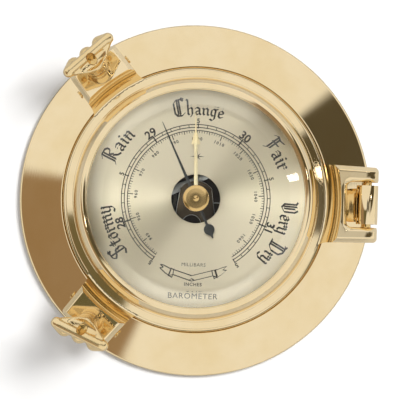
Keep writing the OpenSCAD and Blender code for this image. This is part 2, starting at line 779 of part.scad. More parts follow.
// The door: a cast ring with a stepped face, a forked hinge ear and two dog ears
module door_ring() {
  crown_r = view_r + 2;
  color("gold")
    difference() {
      union() {
        rotate_extrude($fn = 180)
          polygon(concat(
            [[door_r - 0.4, door_z], [door_r, door_z + 0.4], [door_r, rim_z - 0.6],
             [door_r - 0.6, rim_z], [shelf_in_r + 0.5, shelf_z]],
            arc_between([shelf_in_r + 0.2, shelf_z + 0.3], [crown_r + 1.4, crown_z - 1.6], 16, 6),
            arc_between([crown_r + 1.4, crown_z - 1.6], [crown_r - 0.4, crown_z], 2.2, 5),
            [[view_r + 0.5, crown_z - 0.5], [view_r, crown_z - 1.1], [view_r, door_z]]
          ));
        difference() {
          union() {
            for (side = [-1, 1]) at_dog(side) ear_block(dog_ear_w, dog_ear_end, dog_side_view);
            ear_block(hinge_ear_w, hinge_x + knuckle_r, hinge_side_view);
          }
          cove_cut();
        }
      }
      // The rooms for the drum's mouth and for the glass
      rod(door_bore_r, door_z - 1, glass_z - gasket_t - ring_t - 0.3);
      rod(glass_bore_r, door_z, lip_z);
      hinge_notch();
      translate([hinge_x, hinge_ear_w, hinge_z]) rotate([90, 0, 0]) cylinder(r = hinge_pin_d / 2, h = 2 * hinge_ear_w);
      for (side = [-1, 1]) on_dog(side) {
        rod(stud_d / 2 + run_fit, -16, 8);
        translate([-cross_pin_off, dog_ear_w, -groove_depth]) rotate([90, 0, 0])
          cylinder(r = cross_pin_d / 2, h = 2 * dog_ear_w);
      }
    }
}

// The gap of the fork, with rounded inner corners
module hinge_notch() {
  corner = 2;
  reach = knuckle_r + 12;
  translate([notch_x, 0, door_z - 6])
    linear_extrude(ridge_z) {
      translate([corner, -notch_w / 2]) square([reach, notch_w]);
      translate([0, corner - notch_w / 2]) square([reach, notch_w - 2 * corner]);
      for (s = [-1, 1]) translate([corner, s * (notch_w / 2 - corner)]) circle(r = corner);
    }
}

module hinge_pin() {
  color("goldenrod")
    translate([hinge_x, hinge_ear_w / 2 - 0.8, hinge_z]) rotate([90, 0, 0])
      cylinder(r = hinge_pin_d / 2, h = hinge_ear_w - 1.6);
}

module glass() {
  color("lightcyan")
    rotate_extrude($fn = 180)
      polygon([[bush_r + slip_fit / 2, glass_z], [glass_r, glass_z], [glass_r, glass_top - bevel_t],
               [bevel_from, glass_top], [bush_r + slip_fit / 2, glass_top]]);
}

module glass_gasket() {
  color("dimgray") tube(glass_r - 0.1, view_r + 0.5, glass_z - gasket_t, glass_z);
}

// The ring that is screwed into the door behind the glass, with two notches for a wrench
module glass_retaining_ring() {
  top = glass_z - gasket_t;
  color("goldenrod")
    difference() {
      tube(glass_bore_r - run_fit, view_r + 0.6, top - ring_t, top);
      for (a = [0, 180]) rotate([0, 0, a]) translate([0, view_r + 1.2, top - ring_t - 1]) rod(1, 0, 1.8);
    }
}

// A headed pin across an ear, in the groove of its stud
module cross_pin(side) {
  head_h = 0.7;
  half = dog_ear_w / 2;
  color("goldenrod")
    on_dog(side) translate([-cross_pin_off, 0, -groove_depth]) rotate([90, 0, 0]) {
      translate([0, 0, -half]) cylinder(r = cross_pin_d / 2, h = dog_ear_w);
      for (s = [-1, 1]) translate([0, 0, s * (half + head_h / 2) - head_h / 2]) cylinder(r = cross_pin_d / 2 + 0.5, h = head_h);
    }
}

module upper_cross_pin() cross_pin(1);
module lower_cross_pin() cross_pin(-1);

hub_z = washer_t + 0.15;
hub_h = 9.6;
hub_top = hub_z + hub_h;
hub_foot_r = 3.7;
neck_stud_r = 1.9;
stud_over = 0.7;
slot_w = 0.6;

// A stud: its tip drops into the lug, its groove takes the cross pin, and its end shows in the nut
module dog_stud(side) {
  w0 = -lug_reach() - tip_drop;
  color("khaki")
    on_dog(side) difference() {
      union() {
        rod(tip_r, w0, -lug_reach() + 0.6);
        rod(stud_d / 2, -lug_reach() + 0.5, hub_z);
        rod(neck_stud_r, hub_z - eps, hub_top + stud_over);
      }
      tube(stud_d, groove_r, -groove_depth - cross_pin_d / 2 - 0.15, -groove_depth + cross_pin_d / 2 + 0.15);
      translate([-stud_d / 2, -slot_w / 2, hub_top + stud_over - slot_w]) cube([stud_d, slot_w, 1]);
    }
}

module upper_dog_stud() dog_stud(1);
module lower_dog_stud() dog_stud(-1);

module dog_washer(side) {
  color("darkgoldenrod") on_dog(side) tube(washer_d / 2, stud_d / 2 + 0.2, 0, washer_t);
}

module upper_dog_washer() dog_washer(1);
module lower_dog_washer() dog_washer(-1);

// A wing nut: a turned hub, three lobes that lean outwards, and a straight ridge that ties the wings together
module wing_nut(side, turn) {
  ridge_t = 2.4;
  ridge_y = (wing_span - ridge_t) / 2;
  wing_top = washer_t + wing_h - ridge_t / 2;
  lobe_z = wing_top - 4;
  lobe_y = ridge_y * 0.65;
  color("gold")
    on_dog(side) rotate([0, 0, turn])
      difference() {
        union() {
          rotate_extrude()
            polygon(concat(
              [[0, hub_z], [hub_foot_r, hub_z], [hub_foot_r, hub_z + 0.8]],
              arc_between([hub_d / 2, hub_z + 3], [hub_foot_r, hub_top - 1], 6, 6),
              [[hub_foot_r - 0.9, hub_top], [0, hub_top]]
            ));
          for (s = [-1, 1]) {
            hull() {
              translate([ridge_out, s * ridge_y, wing_top]) sphere(d = ridge_t, $fn = 16);
              translate([ridge_out + 1.2, s * lobe_y, lobe_z]) sphere(d = wing_t, $fn = 24);
              translate([0, s * 2, hub_z + 5]) sphere(r = 2, $fn = 16);
            }
          }
          hull() for (s = [-1, 1]) translate([ridge_out, s * ridge_y, wing_top]) sphere(d = ridge_t, $fn = 16);
          hull() {
            translate([ridge_out + 0.6, 0, lobe_z]) sphere(d = wing_t, $fn = 24);
            translate([0, 0, hub_z + 5]) sphere(r = 3, $fn = 20);
          }
        }
        rod(neck_stud_r, -1, hub_top + wing_h);
      }
}

// How far each nut is turned on its stud
upper_turn = 4;
lower_turn = -15;

module upper_wing_nut() wing_nut(1, upper_turn);
module lower_wing_nut() wing_nut(-1, lower_turn);

bush_r = 2.4;
bush_head_r = 3.4;
spindle_r = 1.2;
set_hand_z = glass_z - 1.1;
set_hand_t = 0.4;
knob_z = glass_top + 0.7;

// The bush in the hole of the glass, riveted over on both sides
module set_hand_bush() {
  color("goldenrod")
    difference() {
      union() {
        rod(bush_r, glass_z - 0.4, glass_top + 0.5);
        rod(bush_head_r, glass_z - 0.4, glass_z);
        rod(bush_head_r, glass_top, glass_top + 0.5);
      }
      rod(spindle_r + run_fit, glass_z - 2, glass_top + 2);
    }
}

module set_spindle() {
  color("khaki") {
    rod(spindle_r, set_hand_z, knob_z + 0.9);
    rod(spindle_r + 0.8, set_hand_z + set_hand_t, glass_z - 0.5);
  }
}

module set_knob() {
  color("gold")
    difference() {
      rotate_extrude()
        polygon([[0, knob_z], [knob_d / 2 - 0.5, knob_z], [knob_d / 2, knob_z + 0.5], [knob_d / 2, knob_z + knob_t - 0.5],
                 [knob_d / 2 - 0.5, knob_z + knob_t], [0.8, knob_z + knob_t], [0, knob_z + knob_t - 0.4]]);
      rod(spindle_r, knob_z - 1, knob_z + 0.9);
    }
}

// Where the set hand stands at rest, from 12 o'clock
set_rest = 2;

// The brass hand that the knob sets: a shaft, an arrow and a fine point
module set_hand() {
  set_eye_r = 2.4;
  arrow_w = 3.6;
  arrow_y = 22;
  arrow_top = 27.4;
  color("gold")
    rotate([0, 0, set_rest])
      translate([0, 0, set_hand_z])
        difference() {
          union() {
            rod(set_eye_r, 0, set_hand_t);
            linear_extrude(set_hand_t)
              polygon([[-0.8, 1.5], [-0.6, arrow_y], [-arrow_w / 2, arrow_y], [-0.35, arrow_top], [-0.12, set_hand_len],
                       [0.12, set_hand_len], [0.35, arrow_top], [arrow_w / 2, arrow_y], [0.6, arrow_y], [0.8, 1.5]]);
          }
          rod(spindle_r, -1, 1);
        }
}

flange_ring();
case_drum();
back_cover();
back_cover_screws();
hinge_bracket();
hinge_bracket_screws();
dial();
dial_retaining_ring();
movement_plate();
movement_screws();
aneroid_capsule();
main_spring();
main_spring_screws();
bridge_pillars();
arbor_bridge();
bridge_screws();
arbor_foot();
rocker_bearings();
hairspring();
needle_arbor();
indicating_hand();
chain();
rocking_shaft();
pressure_lever();
adjusting_screw();
door_ring();
glass();
glass_gasket();
glass_retaining_ring();
hinge_pin();
upper_cross_pin();
lower_cross_pin();
upper_dog_stud();
upper_wing_nut();
upper_dog_washer();
lower_dog_stud();
lower_wing_nut();
lower_dog_washer();
set_hand_bush();
set_spindle();
set_knob();
set_hand();
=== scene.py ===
"""A brass porthole barometer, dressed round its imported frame: cast and polished brass, a bevelled
glass, a brushed dial with a printed scale, and the movement that shows in the dial's hole."""
import json
import math
import bmesh
import bpy
import numpy as np
from mathutils import Matrix, Vector

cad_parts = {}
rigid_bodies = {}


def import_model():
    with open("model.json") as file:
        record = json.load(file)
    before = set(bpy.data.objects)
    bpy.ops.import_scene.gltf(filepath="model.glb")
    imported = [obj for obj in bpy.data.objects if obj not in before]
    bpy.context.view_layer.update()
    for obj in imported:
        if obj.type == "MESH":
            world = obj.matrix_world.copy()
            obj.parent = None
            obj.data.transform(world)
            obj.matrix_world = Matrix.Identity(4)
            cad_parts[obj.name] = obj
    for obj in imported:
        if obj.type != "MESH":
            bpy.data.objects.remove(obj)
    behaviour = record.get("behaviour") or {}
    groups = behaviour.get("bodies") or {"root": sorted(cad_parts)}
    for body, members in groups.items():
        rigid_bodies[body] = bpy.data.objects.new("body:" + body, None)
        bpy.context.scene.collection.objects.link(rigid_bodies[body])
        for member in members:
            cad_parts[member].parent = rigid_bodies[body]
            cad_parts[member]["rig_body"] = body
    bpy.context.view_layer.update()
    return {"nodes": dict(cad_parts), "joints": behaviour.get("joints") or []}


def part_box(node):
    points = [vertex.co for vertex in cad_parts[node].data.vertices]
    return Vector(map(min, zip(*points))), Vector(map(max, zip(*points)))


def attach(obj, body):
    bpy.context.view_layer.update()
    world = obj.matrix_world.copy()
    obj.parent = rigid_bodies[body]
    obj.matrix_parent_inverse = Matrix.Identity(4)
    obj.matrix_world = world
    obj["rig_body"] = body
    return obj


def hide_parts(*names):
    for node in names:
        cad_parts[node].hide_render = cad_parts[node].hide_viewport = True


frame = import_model()

# Measures: a length is in millimetres where nothing says metres, and each finished mesh is scaled
MM = 0.001
SIDES = (1, -1)
joint_at = {j["name"]: Vector(j.get("pos_m", (0, 0, 0))) / MM for j in frame["joints"]}
joint_axis = {j["name"]: Vector(j["axis"]).normalized() for j in frame["joints"]}


def span(node):
    """Lowest and highest corners of a CAD node, in millimetres."""
    low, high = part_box(node)
    return low / MM, high / MM


flange_high = span("flange_ring")[1]
door_high = span("door_ring")[1]
dial_low, dial_high = span("dial")
glass_low, glass_high = span("glass")
knob_low, knob_high = span("set_knob")

# A form that replaces a CAD solid stays this far inside its flat faces
SKIN = 0.02
FLANGE_R = flange_high.y
SEAT_Z = flange_high.z
DOOR_GAP = 0.3
DOOR_FOOT = SEAT_Z + DOOR_GAP
DOOR_R = 53.0
CROWN_Z = door_high.z
DIAL_R = dial_high.x
DIAL_TOP = dial_high.z
GLASS_R = glass_high.x
GLASS_TOP = glass_high.z
GLASS_FOOT = glass_low.z
# How far the door laps over the glass
GLASS_LAP = 2.2
VIEW_R = GLASS_R - GLASS_LAP
HINGE = joint_at["door_hinge"]
KNUCKLE_R = 4.4
dog_axis, dog_at = joint_axis["upper_dog_turn"], joint_at["upper_dog_turn"]
SLOPE = math.atan2(dog_axis.to_2d().length, dog_axis.z)
DOG_R = dog_at.to_2d().length
DOG_ANGLE = math.atan2(dog_at.y, dog_at.x)


# Colours and nodes

def rgb(hex_text):
    """An sRGB hex colour as linear RGBA."""
    parts = [int(hex_text[i:i + 2], 16) / 255 for i in (0, 2, 4)]
    return tuple(c / 12.92 if c <= 0.04045 else ((c + 0.055) / 1.055) ** 2.4 for c in parts) + (1.0,)


def grey(level):
    """A grey as linear RGBA."""
    return (level, level, level, 1)


def add(tree, kind, settings={}, links={}):
    """Adds one node. The settings are its properties and plain inputs, the links its linked inputs."""
    node = tree.nodes.new(kind)
    for key, value in settings.items():
        if isinstance(key, str) and hasattr(node, key):
            setattr(node, key, value)
        else:
            node.inputs[key].default_value = value
    for key, socket in links.items():
        tree.links.new(socket, node.inputs[key])
    return node


def sums(tree, operation, first, second=None):
    """Arithmetic on a socket, with a number or another socket."""
    linked = isinstance(second, bpy.types.NodeSocket)
    settings = {"operation": operation}
    if second is not None and not linked:
        settings[1] = second
    return add(tree, "ShaderNodeMath", settings, {0: first, 1: second} if linked else {0: first}).outputs[0]


def ramp(tree, value, low, high, to_low=0.0, to_high=1.0, kind="LINEAR"):
    """Where a value lies between two limits, as a number between two others."""
    settings = {"interpolation_type": kind, "From Min": low, "From Max": high,
                "To Min": to_low, "To Max": to_high}
    return add(tree, "ShaderNodeMapRange", settings, {"Value": value}).outputs[0]


def smooth_edge(tree, value, low, high):
    return ramp(tree, value, low, high, kind="SMOOTHSTEP")


def mixed(tree, factor, first, second):
    """A mix of two colours, each of them fixed or linked."""
    node = add(tree, "ShaderNodeMix", {"data_type": "RGBA"}, {0: factor})
    for key, colour in ((6, first), (7, second)):
        if isinstance(colour, tuple):
            node.inputs[key].default_value = colour
        else:
            tree.links.new(colour, node.inputs[key])
    return node.outputs[2]


def camera_ray(tree):
    return add(tree, "ShaderNodeLightPath").outputs["Is Camera Ray"]


# Materials

# Depth of grain and brush marks, in metres
GRAIN_M = 0.00003


def new_material(name, colour, metallic, roughness, settings={}):
    """A Principled material, with its uniform values on the shader's own sockets."""
    mat = bpy.data.materials.new(name)
    mat.use_nodes = True
    tree = mat.node_tree
    shader = tree.nodes["Principled BSDF"]
    plain = {"Base Color": rgb(colour), "Metallic": metallic, "Roughness": roughness, **settings}
    for key, value in plain.items():
        shader.inputs[key].default_value = value
    return mat, tree, shader


def own_space(tree):
    return add(tree, "ShaderNodeTexCoord").outputs["Object"]


def clouds(tree, scale, detail=2.0):
    """Cloudy noise that stays with the piece. Its scale is per metre."""
    settings = {"Scale": scale, "Detail": detail}
    return add(tree, "ShaderNodeTexNoise", settings, {"Vector": own_space(tree)}).outputs["Fac"]


def rings(tree, per_mm, detail):
    """Noise that changes only with the distance from the dial's axis, as turning and brushing leave it."""
    in_mm = {"operation": "MULTIPLY", 1: (1 / MM, 1 / MM, 0)}
    flat = add(tree, "ShaderNodeVectorMath", in_mm, {0: own_space(tree)})
    distance = add(tree, "ShaderNodeVectorMath", {"operation": "LENGTH"}, {0: flat.outputs[0]})
    settings = {"noise_dimensions": "1D", "Scale": per_mm, "Detail": detail}
    return add(tree, "ShaderNodeTexNoise", settings, {"W": distance.outputs["Value"]}).outputs["Fac"]


def two_tone(tree, shader, factor, colour, second):
    """Lets the colour drift between two tones."""
    tree.links.new(mixed(tree, factor, rgb(colour), rgb(second)), shader.inputs["Base Color"])


def uneven_gloss(tree, shader, factor, low, high):
    """Lets the roughness drift between two values."""
    tree.links.new(ramp(tree, factor, 0.0, 1.0, low, high), shader.inputs["Roughness"])


def relief(tree, shader, height, strength):
    """Raises fine marks on the surface."""
    bump = add(tree, "ShaderNodeBump", {"Strength": strength, "Distance": GRAIN_M}, {"Height": height})
    tree.links.new(bump.outputs[0], shader.inputs["Normal"])


# Cast brass, machined, buffed to a mirror and lacquered: the lacquer's faint clouds show in its
# gloss, and a turned face keeps fine rings about the dial's axis
def buffed_brass(name, colour="F3DEB4", second="EDD4A2", roughness=0.07, ring_mm=0.0, depth=0.2):
    mat, tree, shader = new_material(name, colour, 1.0, roughness)
    lacquer = clouds(tree, 60.0, 3.0)
    two_tone(tree, shader, ramp(tree, lacquer, 0.4, 0.8), colour, second)
    uneven_gloss(tree, shader, lacquer, roughness * 0.8, roughness * 1.35)
    relief(tree, shader, rings(tree, 1 / ring_mm, 2.0) if ring_mm else clouds(tree, 350.0), depth)
    return mat


# Rolled, turned or plated metal of the movement: satin, with a fine mottle from its handling
def satin_metal(name, colour, second, roughness):
    mat, tree, shader = new_material(name, colour, 1.0, roughness)
    mottle = clouds(tree, 400.0, 4.0)
    two_tone(tree, shader, mottle, colour, second)
    relief(tree, shader, mottle, 0.15)
    return mat


# Anodised aluminium sheet in champagne, brushed in circles: the grooves, drawn at about 0.25 mm
# so that they show, spread the light into fans across them
def brushed_dial():
    colour, second = "E9DCC5", "DDCFB4"
    grain = {"Anisotropic": 1.0, "Anisotropic Rotation": 0.25}
    mat, tree, shader = new_material("circular_brushed_aluminium", colour, 1.0, 0.32, grain)
    tangent = add(tree, "ShaderNodeTangent", {"direction_type": "RADIAL", "axis": "Z"})
    tree.links.new(tangent.outputs[0], shader.inputs["Tangent"])
    grooves = rings(tree, 4.0, 3.0)
    relief(tree, shader, grooves, 0.12)
    two_tone(tree, shader, grooves, colour, second)
    return mat


# Paint, ink or rubber: not metal, with a slight unevenness in its gloss
def coating(name, colour, roughness):
    mat, tree, shader = new_material(name, colour, 0.0, roughness)
    uneven_gloss(tree, shader, clouds(tree, 600.0), roughness * 0.8, roughness * 1.2)
    return mat


# Bevelled plate glass: shadow rays pass, so that the dial behind it is lit as in air
def plate_glass():
    clear = {"IOR": 1.5, "Transmission Weight": 1.0}
    mat, tree, shader = new_material("bevelled_plate_glass", "FBFDFB", 0.0, 0.0, clear)
    shadow = add(tree, "ShaderNodeLightPath").outputs["Is Shadow Ray"]
    through = add(tree, "ShaderNodeBsdfTransparent", {"Color": rgb("F6FAF6")})
    both = add(tree, "ShaderNodeMixShader", {}, {0: shadow, 1: shader.outputs[0], 2: through.outputs[0]})
    tree.links.new(both.outputs[0], tree.nodes["Material Output"].inputs["Surface"])
    return mat


brass = buffed_brass("buffed_cast_brass")
flange_brass = buffed_brass("turned_flange_brass", ring_mm=0.4, depth=0.25)
satin_brass = buffed_brass("satin_turned_brass", "F4E3BC", "EBD3A2", 0.3)
turned_brass = buffed_brass("turned_pin_brass", "E3C285", "D8B26E", 0.13)
filed_brass = buffed_brass("filed_nut_brass", "F0D8A8", "E8CA92", 0.17)
spun_brass = satin_metal("spun_sheet_brass", "B99450", "A07E40", 0.35)
steel = satin_metal("bright_steel", "B9B8B4", "A2A19D", 0.28)
plate_steel = satin_metal("oiled_steel_plate", "54473A", "3E342A", 0.42)
gunmetal = satin_metal("blackened_bridge", "43382B", "322A20", 0.3)
nickel = satin_metal("nickelled_capsule", "8F8C84", "7C7971", 0.25)
blued_steel = satin_metal("blued_spring_steel", "2B3246", "20263A", 0.3)
dial_metal = brushed_dial()
black = coating("black_enamel", "121110", 0.35)
ink = coating("dial_ink", "1A1108", 0.7)
rubber = coating("gasket_rubber", "17171A", 0.7)
glass_material = plate_glass()


# Mesh helpers

def rounded(points, radii, steps=5):
    """A closed outline whose corners are rounded by the given radii."""
    out = []
    n = len(points)
    for i, (point, radius) in enumerate(zip(points, radii)):
        p, a, b = Vector(point), Vector(points[i - 1]), Vector(points[(i + 1) % n])
        if not radius:
            out.append(tuple(p))
            continue
        u, v = (a - p).normalized(), (b - p).normalized()
        half = u.angle(v) / 2
        cut = min(radius / math.tan(half), 0.49 * (a - p).length, 0.49 * (b - p).length)
        centre = p + (u + v).normalized() * (cut * math.tan(half) / math.sin(half))
        start, end = p + u * cut - centre, p + v * cut - centre
        turn = start.angle_signed(end)
        for k in range(steps + 1):
            angle = -turn * k / steps
            c, s = math.cos(angle), math.sin(angle)
            out.append((centre.x + start.x * c - start.y * s, centre.y + start.x * s + start.y * c))
    return out


def arc(centre, radius, start, end, steps):
    """Points on an arc, with its angles in degrees."""
    angles = [math.radians(start + (end - start) * k / steps) for k in range(steps + 1)]
    return [(centre[0] + radius * math.cos(a), centre[1] + radius * math.sin(a)) for a in angles]


def arc_between(a, b, radius, steps):
    """The arc from a to b whose centre lies to the left of the way."""
    a, b = Vector(a), Vector(b)
    way = b - a
    left = Vector((-way.y, way.x)).normalized()
    centre = (a + b) / 2 + left * math.sqrt(radius ** 2 - way.length_squared / 4)
    start = math.degrees(math.atan2(a.y - centre.y, a.x - centre.x))
    end = math.degrees(math.atan2(b.y - centre.y, b.x - centre.x))
    sweep = (end - start + 540) % 360 - 180
    return arc(centre, radius, start, start + sweep, steps)


def build(bm):
    """Merges doubles and turns all faces outwards."""
    bmesh.ops.remove_doubles(bm, verts=bm.verts, dist=1e-4)
    bmesh.ops.recalc_face_normals(bm, faces=bm.faces)
    return bm


def revolve(outline, segments):
    """Turns a closed outline of (radius, height) about the dial's axis."""
    bm = bmesh.new()
    rows = []
    for k in range(segments):
        a = 2 * math.pi * k / segments
        rows.append([bm.verts.new((r * math.cos(a), r * math.sin(a), z)) for r, z in outline])
    n = len(outline)
    for k in range(segments):
        here, there = rows[k], rows[(k + 1) % segments]
        for i in range(n):
            j = (i + 1) % n
            if outline[i][0] < 1e-9 and outline[j][0] < 1e-9:
                continue
            bm.faces.new((here[i], here[j], there[j], there[i]))
    bmesh.ops.remove_doubles(bm, verts=bm.verts, dist=1e-5)
    bmesh.ops.dissolve_degenerate(bm, edges=bm.edges, dist=1e-6)
    return build(bm)


def prism(outline, low, high):
    """An upright block over a flat outline."""
    bm = bmesh.new()
    foot = [bm.verts.new((x, y, low)) for x, y in outline]
    top = [bm.verts.new((x, y, high)) for x, y in outline]
    n = len(outline)
    bm.faces.new(foot[::-1])
    bm.faces.new(top)
    for i in range(n):
        j = (i + 1) % n
        bm.faces.new((foot[i], foot[j], top[j], top[i]))
    return build(bm)


def loft(rings):
    """A closed skin over rings of equal length, with flat ends."""
    bm = bmesh.new()
    rows = [[bm.verts.new(p) for p in ring] for ring in rings]
    n = len(rings[0])
    for here, there in zip(rows, rows[1:]):
        for i in range(n):
            j = (i + 1) % n
            bm.faces.new((here[i], here[j], there[j], there[i]))
    bm.faces.new(rows[0][::-1])
    bm.faces.new(rows[-1])
    return build(bm)


def turned(bm, angle):
    """Turns a mesh about the dial's axis."""
    bm.transform(Matrix.Rotation(angle, 4, "Z"))
    return bm


def joined(*parts):
    """Several meshes as one."""
    whole = bmesh.new()
    for part in parts:
        mesh = bpy.data.meshes.new("part")
        part.to_mesh(mesh)
        whole.from_mesh(mesh)
        bpy.data.meshes.remove(mesh)
        part.free()
    return whole


def ball(centre, radius, squash=(1, 1, 1)):
    """A ball or an ellipsoid."""
    bm = bmesh.new()
    bmesh.ops.create_icosphere(bm, subdivisions=3, radius=radius)
    for v in bm.verts:
        v.co = Vector(v.co[i] * squash[i] + centre[i] for i in range(3))
    return bm


def skin_over(*balls):
    """The smallest convex body round some balls."""
    bm = joined(*balls)
    found = bmesh.ops.convex_hull(bm, input=bm.verts)
    inside = [g for g in found["geom_interior"] + found["geom_unused"] if isinstance(g, bmesh.types.BMVert)]
    bmesh.ops.delete(bm, geom=inside, context="VERTS")
    return build(bm)


def to_object(bm, name="work"):
    mesh = bpy.data.meshes.new(name)
    bm.to_mesh(mesh)
    bm.free()
    obj = bpy.data.objects.new(name, mesh)
    bpy.context.scene.collection.objects.link(obj)
    return obj


def to_bmesh(obj):
    """What a helper object's modifiers or text give, as a bmesh. The helper is used up."""
    bpy.context.view_layer.update()
    made = bpy.data.meshes.new_from_object(obj.evaluated_get(bpy.context.evaluated_depsgraph_get()))
    bm = bmesh.new()
    bm.from_mesh(made)
    bpy.data.objects.remove(obj)
    bpy.data.meshes.remove(made)
    return bm


def modify(obj, kind, **values):
    """Applies one modifier to an object's mesh."""
    mod = obj.modifiers.new("work", kind)
    for key, value in values.items():
        setattr(mod, key, value)
    depsgraph = bpy.context.evaluated_depsgraph_get()
    mesh = bpy.data.meshes.new_from_object(obj.evaluated_get(depsgraph))
    obj.modifiers.clear()
    old = obj.data
    obj.data = mesh
    bpy.data.meshes.remove(old)
    return obj


def boolean(obj, others, operation):
    """Joins or cuts with other meshes, which are used up."""
    for other in others:
        tool = to_object(other) if isinstance(other, bmesh.types.BMesh) else other
        modify(obj, "BOOLEAN", operation=operation, solver="EXACT", object=tool)
        bpy.data.objects.remove(tool)
    return obj


def dress(obj, name, mat, body, slot=None, replaces=(), sharp=35, even=False):
    """Brings a mesh to metres, shades it, fixes it to its body, and hides the CAD nodes that it replaces.

    Edges over the sharp angle stay sharp. Even shading lets large faces lead, so that flats stay
    flat beside rounded edges."""
    obj.name = name
    mesh = obj.data
    mesh.name = name
    mesh.transform(Matrix.Scale(MM, 4))
    mesh.materials.clear()
    mesh.materials.append(mat)
    mesh.polygons.foreach_set("material_index", [0] * len(mesh.polygons))
    mesh.shade_smooth()
    mesh.set_sharp_from_angle(angle=math.radians(sharp))
    if even:
        modify(obj, "WEIGHTED_NORMAL", keep_sharp=True, weight=80)
    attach(obj, body)
    if replaces:
        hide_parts(*replaces)
    return obj


# Flange: a rolled rim, a conical face and the neck that the door shuts on

BORE_R = 46.0
RIM_T = 3.2
# Underside of the two lugs and the pad, inside the cone
LUG_FOOT = 2.6


def flange_section():
    """From the drum's rebate under the neck, round the rim and up the cone to the seat."""
    rebate = [(BORE_R, 2.2), (49.4, 2.2), (49.4, SKIN), (52.2, SKIN)]
    hollow = [(52.2, RIM_T), (53.6, 7.75), (FLANGE_R - 3.2, 0.9), (FLANGE_R - 3.0, SKIN)]
    rim = arc((FLANGE_R - RIM_T / 2, RIM_T / 2), RIM_T / 2, -88, 62, 16)
    cone = [(71.95, 3.16), (55.6, 10.35)]
    cove = arc((54.0, 12.55), 2.0, -60, -172, 8)
    seat = [(52.0, SEAT_Z - 0.45), (51.55, SEAT_Z - SKIN), (BORE_R + 0.4, SEAT_Z - SKIN),
            (BORE_R, SEAT_Z - 0.4)]
    return rebate + hollow + rim + cone + cove + seat


def lug():
    """A lug on the flange, under a dog, as a rounded block along +X."""
    root, shoulder, end, half, end_half, corner = 49, 63, 68.2, 7, 4.6, 3
    side = [(root, -half), (shoulder, -half), (end, -end_half)]
    outline = rounded(side + [(x, -y) for x, y in side[::-1]], [0, corner, corner, corner, corner, 0])
    return prism(outline, LUG_FOOT, SEAT_Z - SKIN)


def bracket_pad():
    """The pad under the hinge's bracket."""
    start, end, half, top, corner = 60.6, 71.2, 9.5, 4.2, 1.5
    outline = rounded([(start, -half), (end, -half), (end, half), (start, half)], [corner] * 4)
    return prism(outline, LUG_FOOT, top)


lugs = [turned(lug(), side * DOG_ANGLE) for side in SIDES]
flange_parts = joined(revolve(flange_section(), 360), *lugs, bracket_pad())
dress(to_object(flange_parts), "polished_flange", flange_brass, "case", "turned_brass", ("flange_ring",), 28)


# Door: a cast ring with a stepped face, a forked hinge ear and two dog ears

SHELF_Z, RIM_Z = DOOR_FOOT + 3.65, DOOR_FOOT + 3.0
RIDGE_R, RIDGE_Z = 58.5, DOOR_FOOT + 9.7
FACE_R = DOOR_R - 3.6
CROWN_R = VIEW_R + 2
# A cutter dips this far into a face that it has to clear
DIP = 0.04
EAR_CHAMFER, EAR_CORNER, EAR_DRAFT = 1.9, 1.7, 0.5
# Where an ear flows out of the ring: how far it widens, over what length
FLARE, FLARE_L = 4, 5.2
DOG_EAR_HALF, DOG_EAR_END = 11.7, DOG_R + 4.2
HINGE_EAR_HALF, HINGE_EAR_END = 15.8, HINGE.x + KNUCKLE_R
# The gap of the fork: where it starts, half its width, its corner, and a reach past the ear's end
GAP_START, GAP_HALF, GAP_CORNER, GAP_OPEN = 61.4, 9.2, 2.0, 80


def door_section():
    """From the foot up the rim, over the shelf, the face and the crown, and down inside by the glass."""
    face_start, crown_start = (FACE_R + 0.2, SHELF_Z + 0.55), (CROWN_R + 1.4, CROWN_Z - 1.6)
    rim = [(DOOR_R - 0.4, DOOR_FOOT), (DOOR_R, DOOR_FOOT + 0.4)]
    rim += arc((DOOR_R - 0.6, RIM_Z - 0.6), 0.6, 0, 80, 5)
    shelf = arc_between((FACE_R + 0.75, SHELF_Z), (FACE_R + 0.2, SHELF_Z + 0.5), 0.6, 4)
    face = arc_between(face_start, crown_start, 16, 10)
    crown = arc_between(crown_start, (CROWN_R - 0.4, CROWN_Z), 2.2, 8)[1:]
    lip = [(VIEW_R + 0.75, CROWN_Z - 0.35)] + arc((VIEW_R + 0.45, CROWN_Z - 0.95), 0.45, 80, 180, 5)
    lap_z, pocket_r, pocket_z, inner_r = GLASS_TOP - 0.62, GLASS_R + 0.2, GLASS_FOOT - 2.4, 46.9
    pocket = [(VIEW_R, lap_z), (pocket_r, lap_z), (pocket_r, pocket_z), (inner_r, pocket_z),
              (inner_r, DOOR_FOOT)]
    return rim + shelf + face + crown + lip + pocket


def slope_z(x):
    """Height of an ear's slope, which falls outwards from the ridge."""
    return RIDGE_Z - (x - RIDGE_R) * math.tan(SLOPE)


def dog_foot(x):
    return DOOR_FOOT + SKIN


def knuckle_rise(x):
    """Half the height of the knuckle's round at some reach from the hinge axis."""
    return math.sqrt(max(KNUCKLE_R ** 2 - (x - HINGE.x) ** 2, 0))


def hinge_top(x):
    """The top of the hinge ear, which is rounded over about the hinge axis."""
    return slope_z(x) if x - HINGE.x < KNUCKLE_R * math.sin(SLOPE) else HINGE.z + knuckle_rise(x)


def hinge_foot(x):
    """The underside of the hinge ear: flat, then round the knuckle."""
    return HINGE.z - knuckle_rise(x) if x - HINGE.x > -3.4 else DOOR_FOOT + SKIN


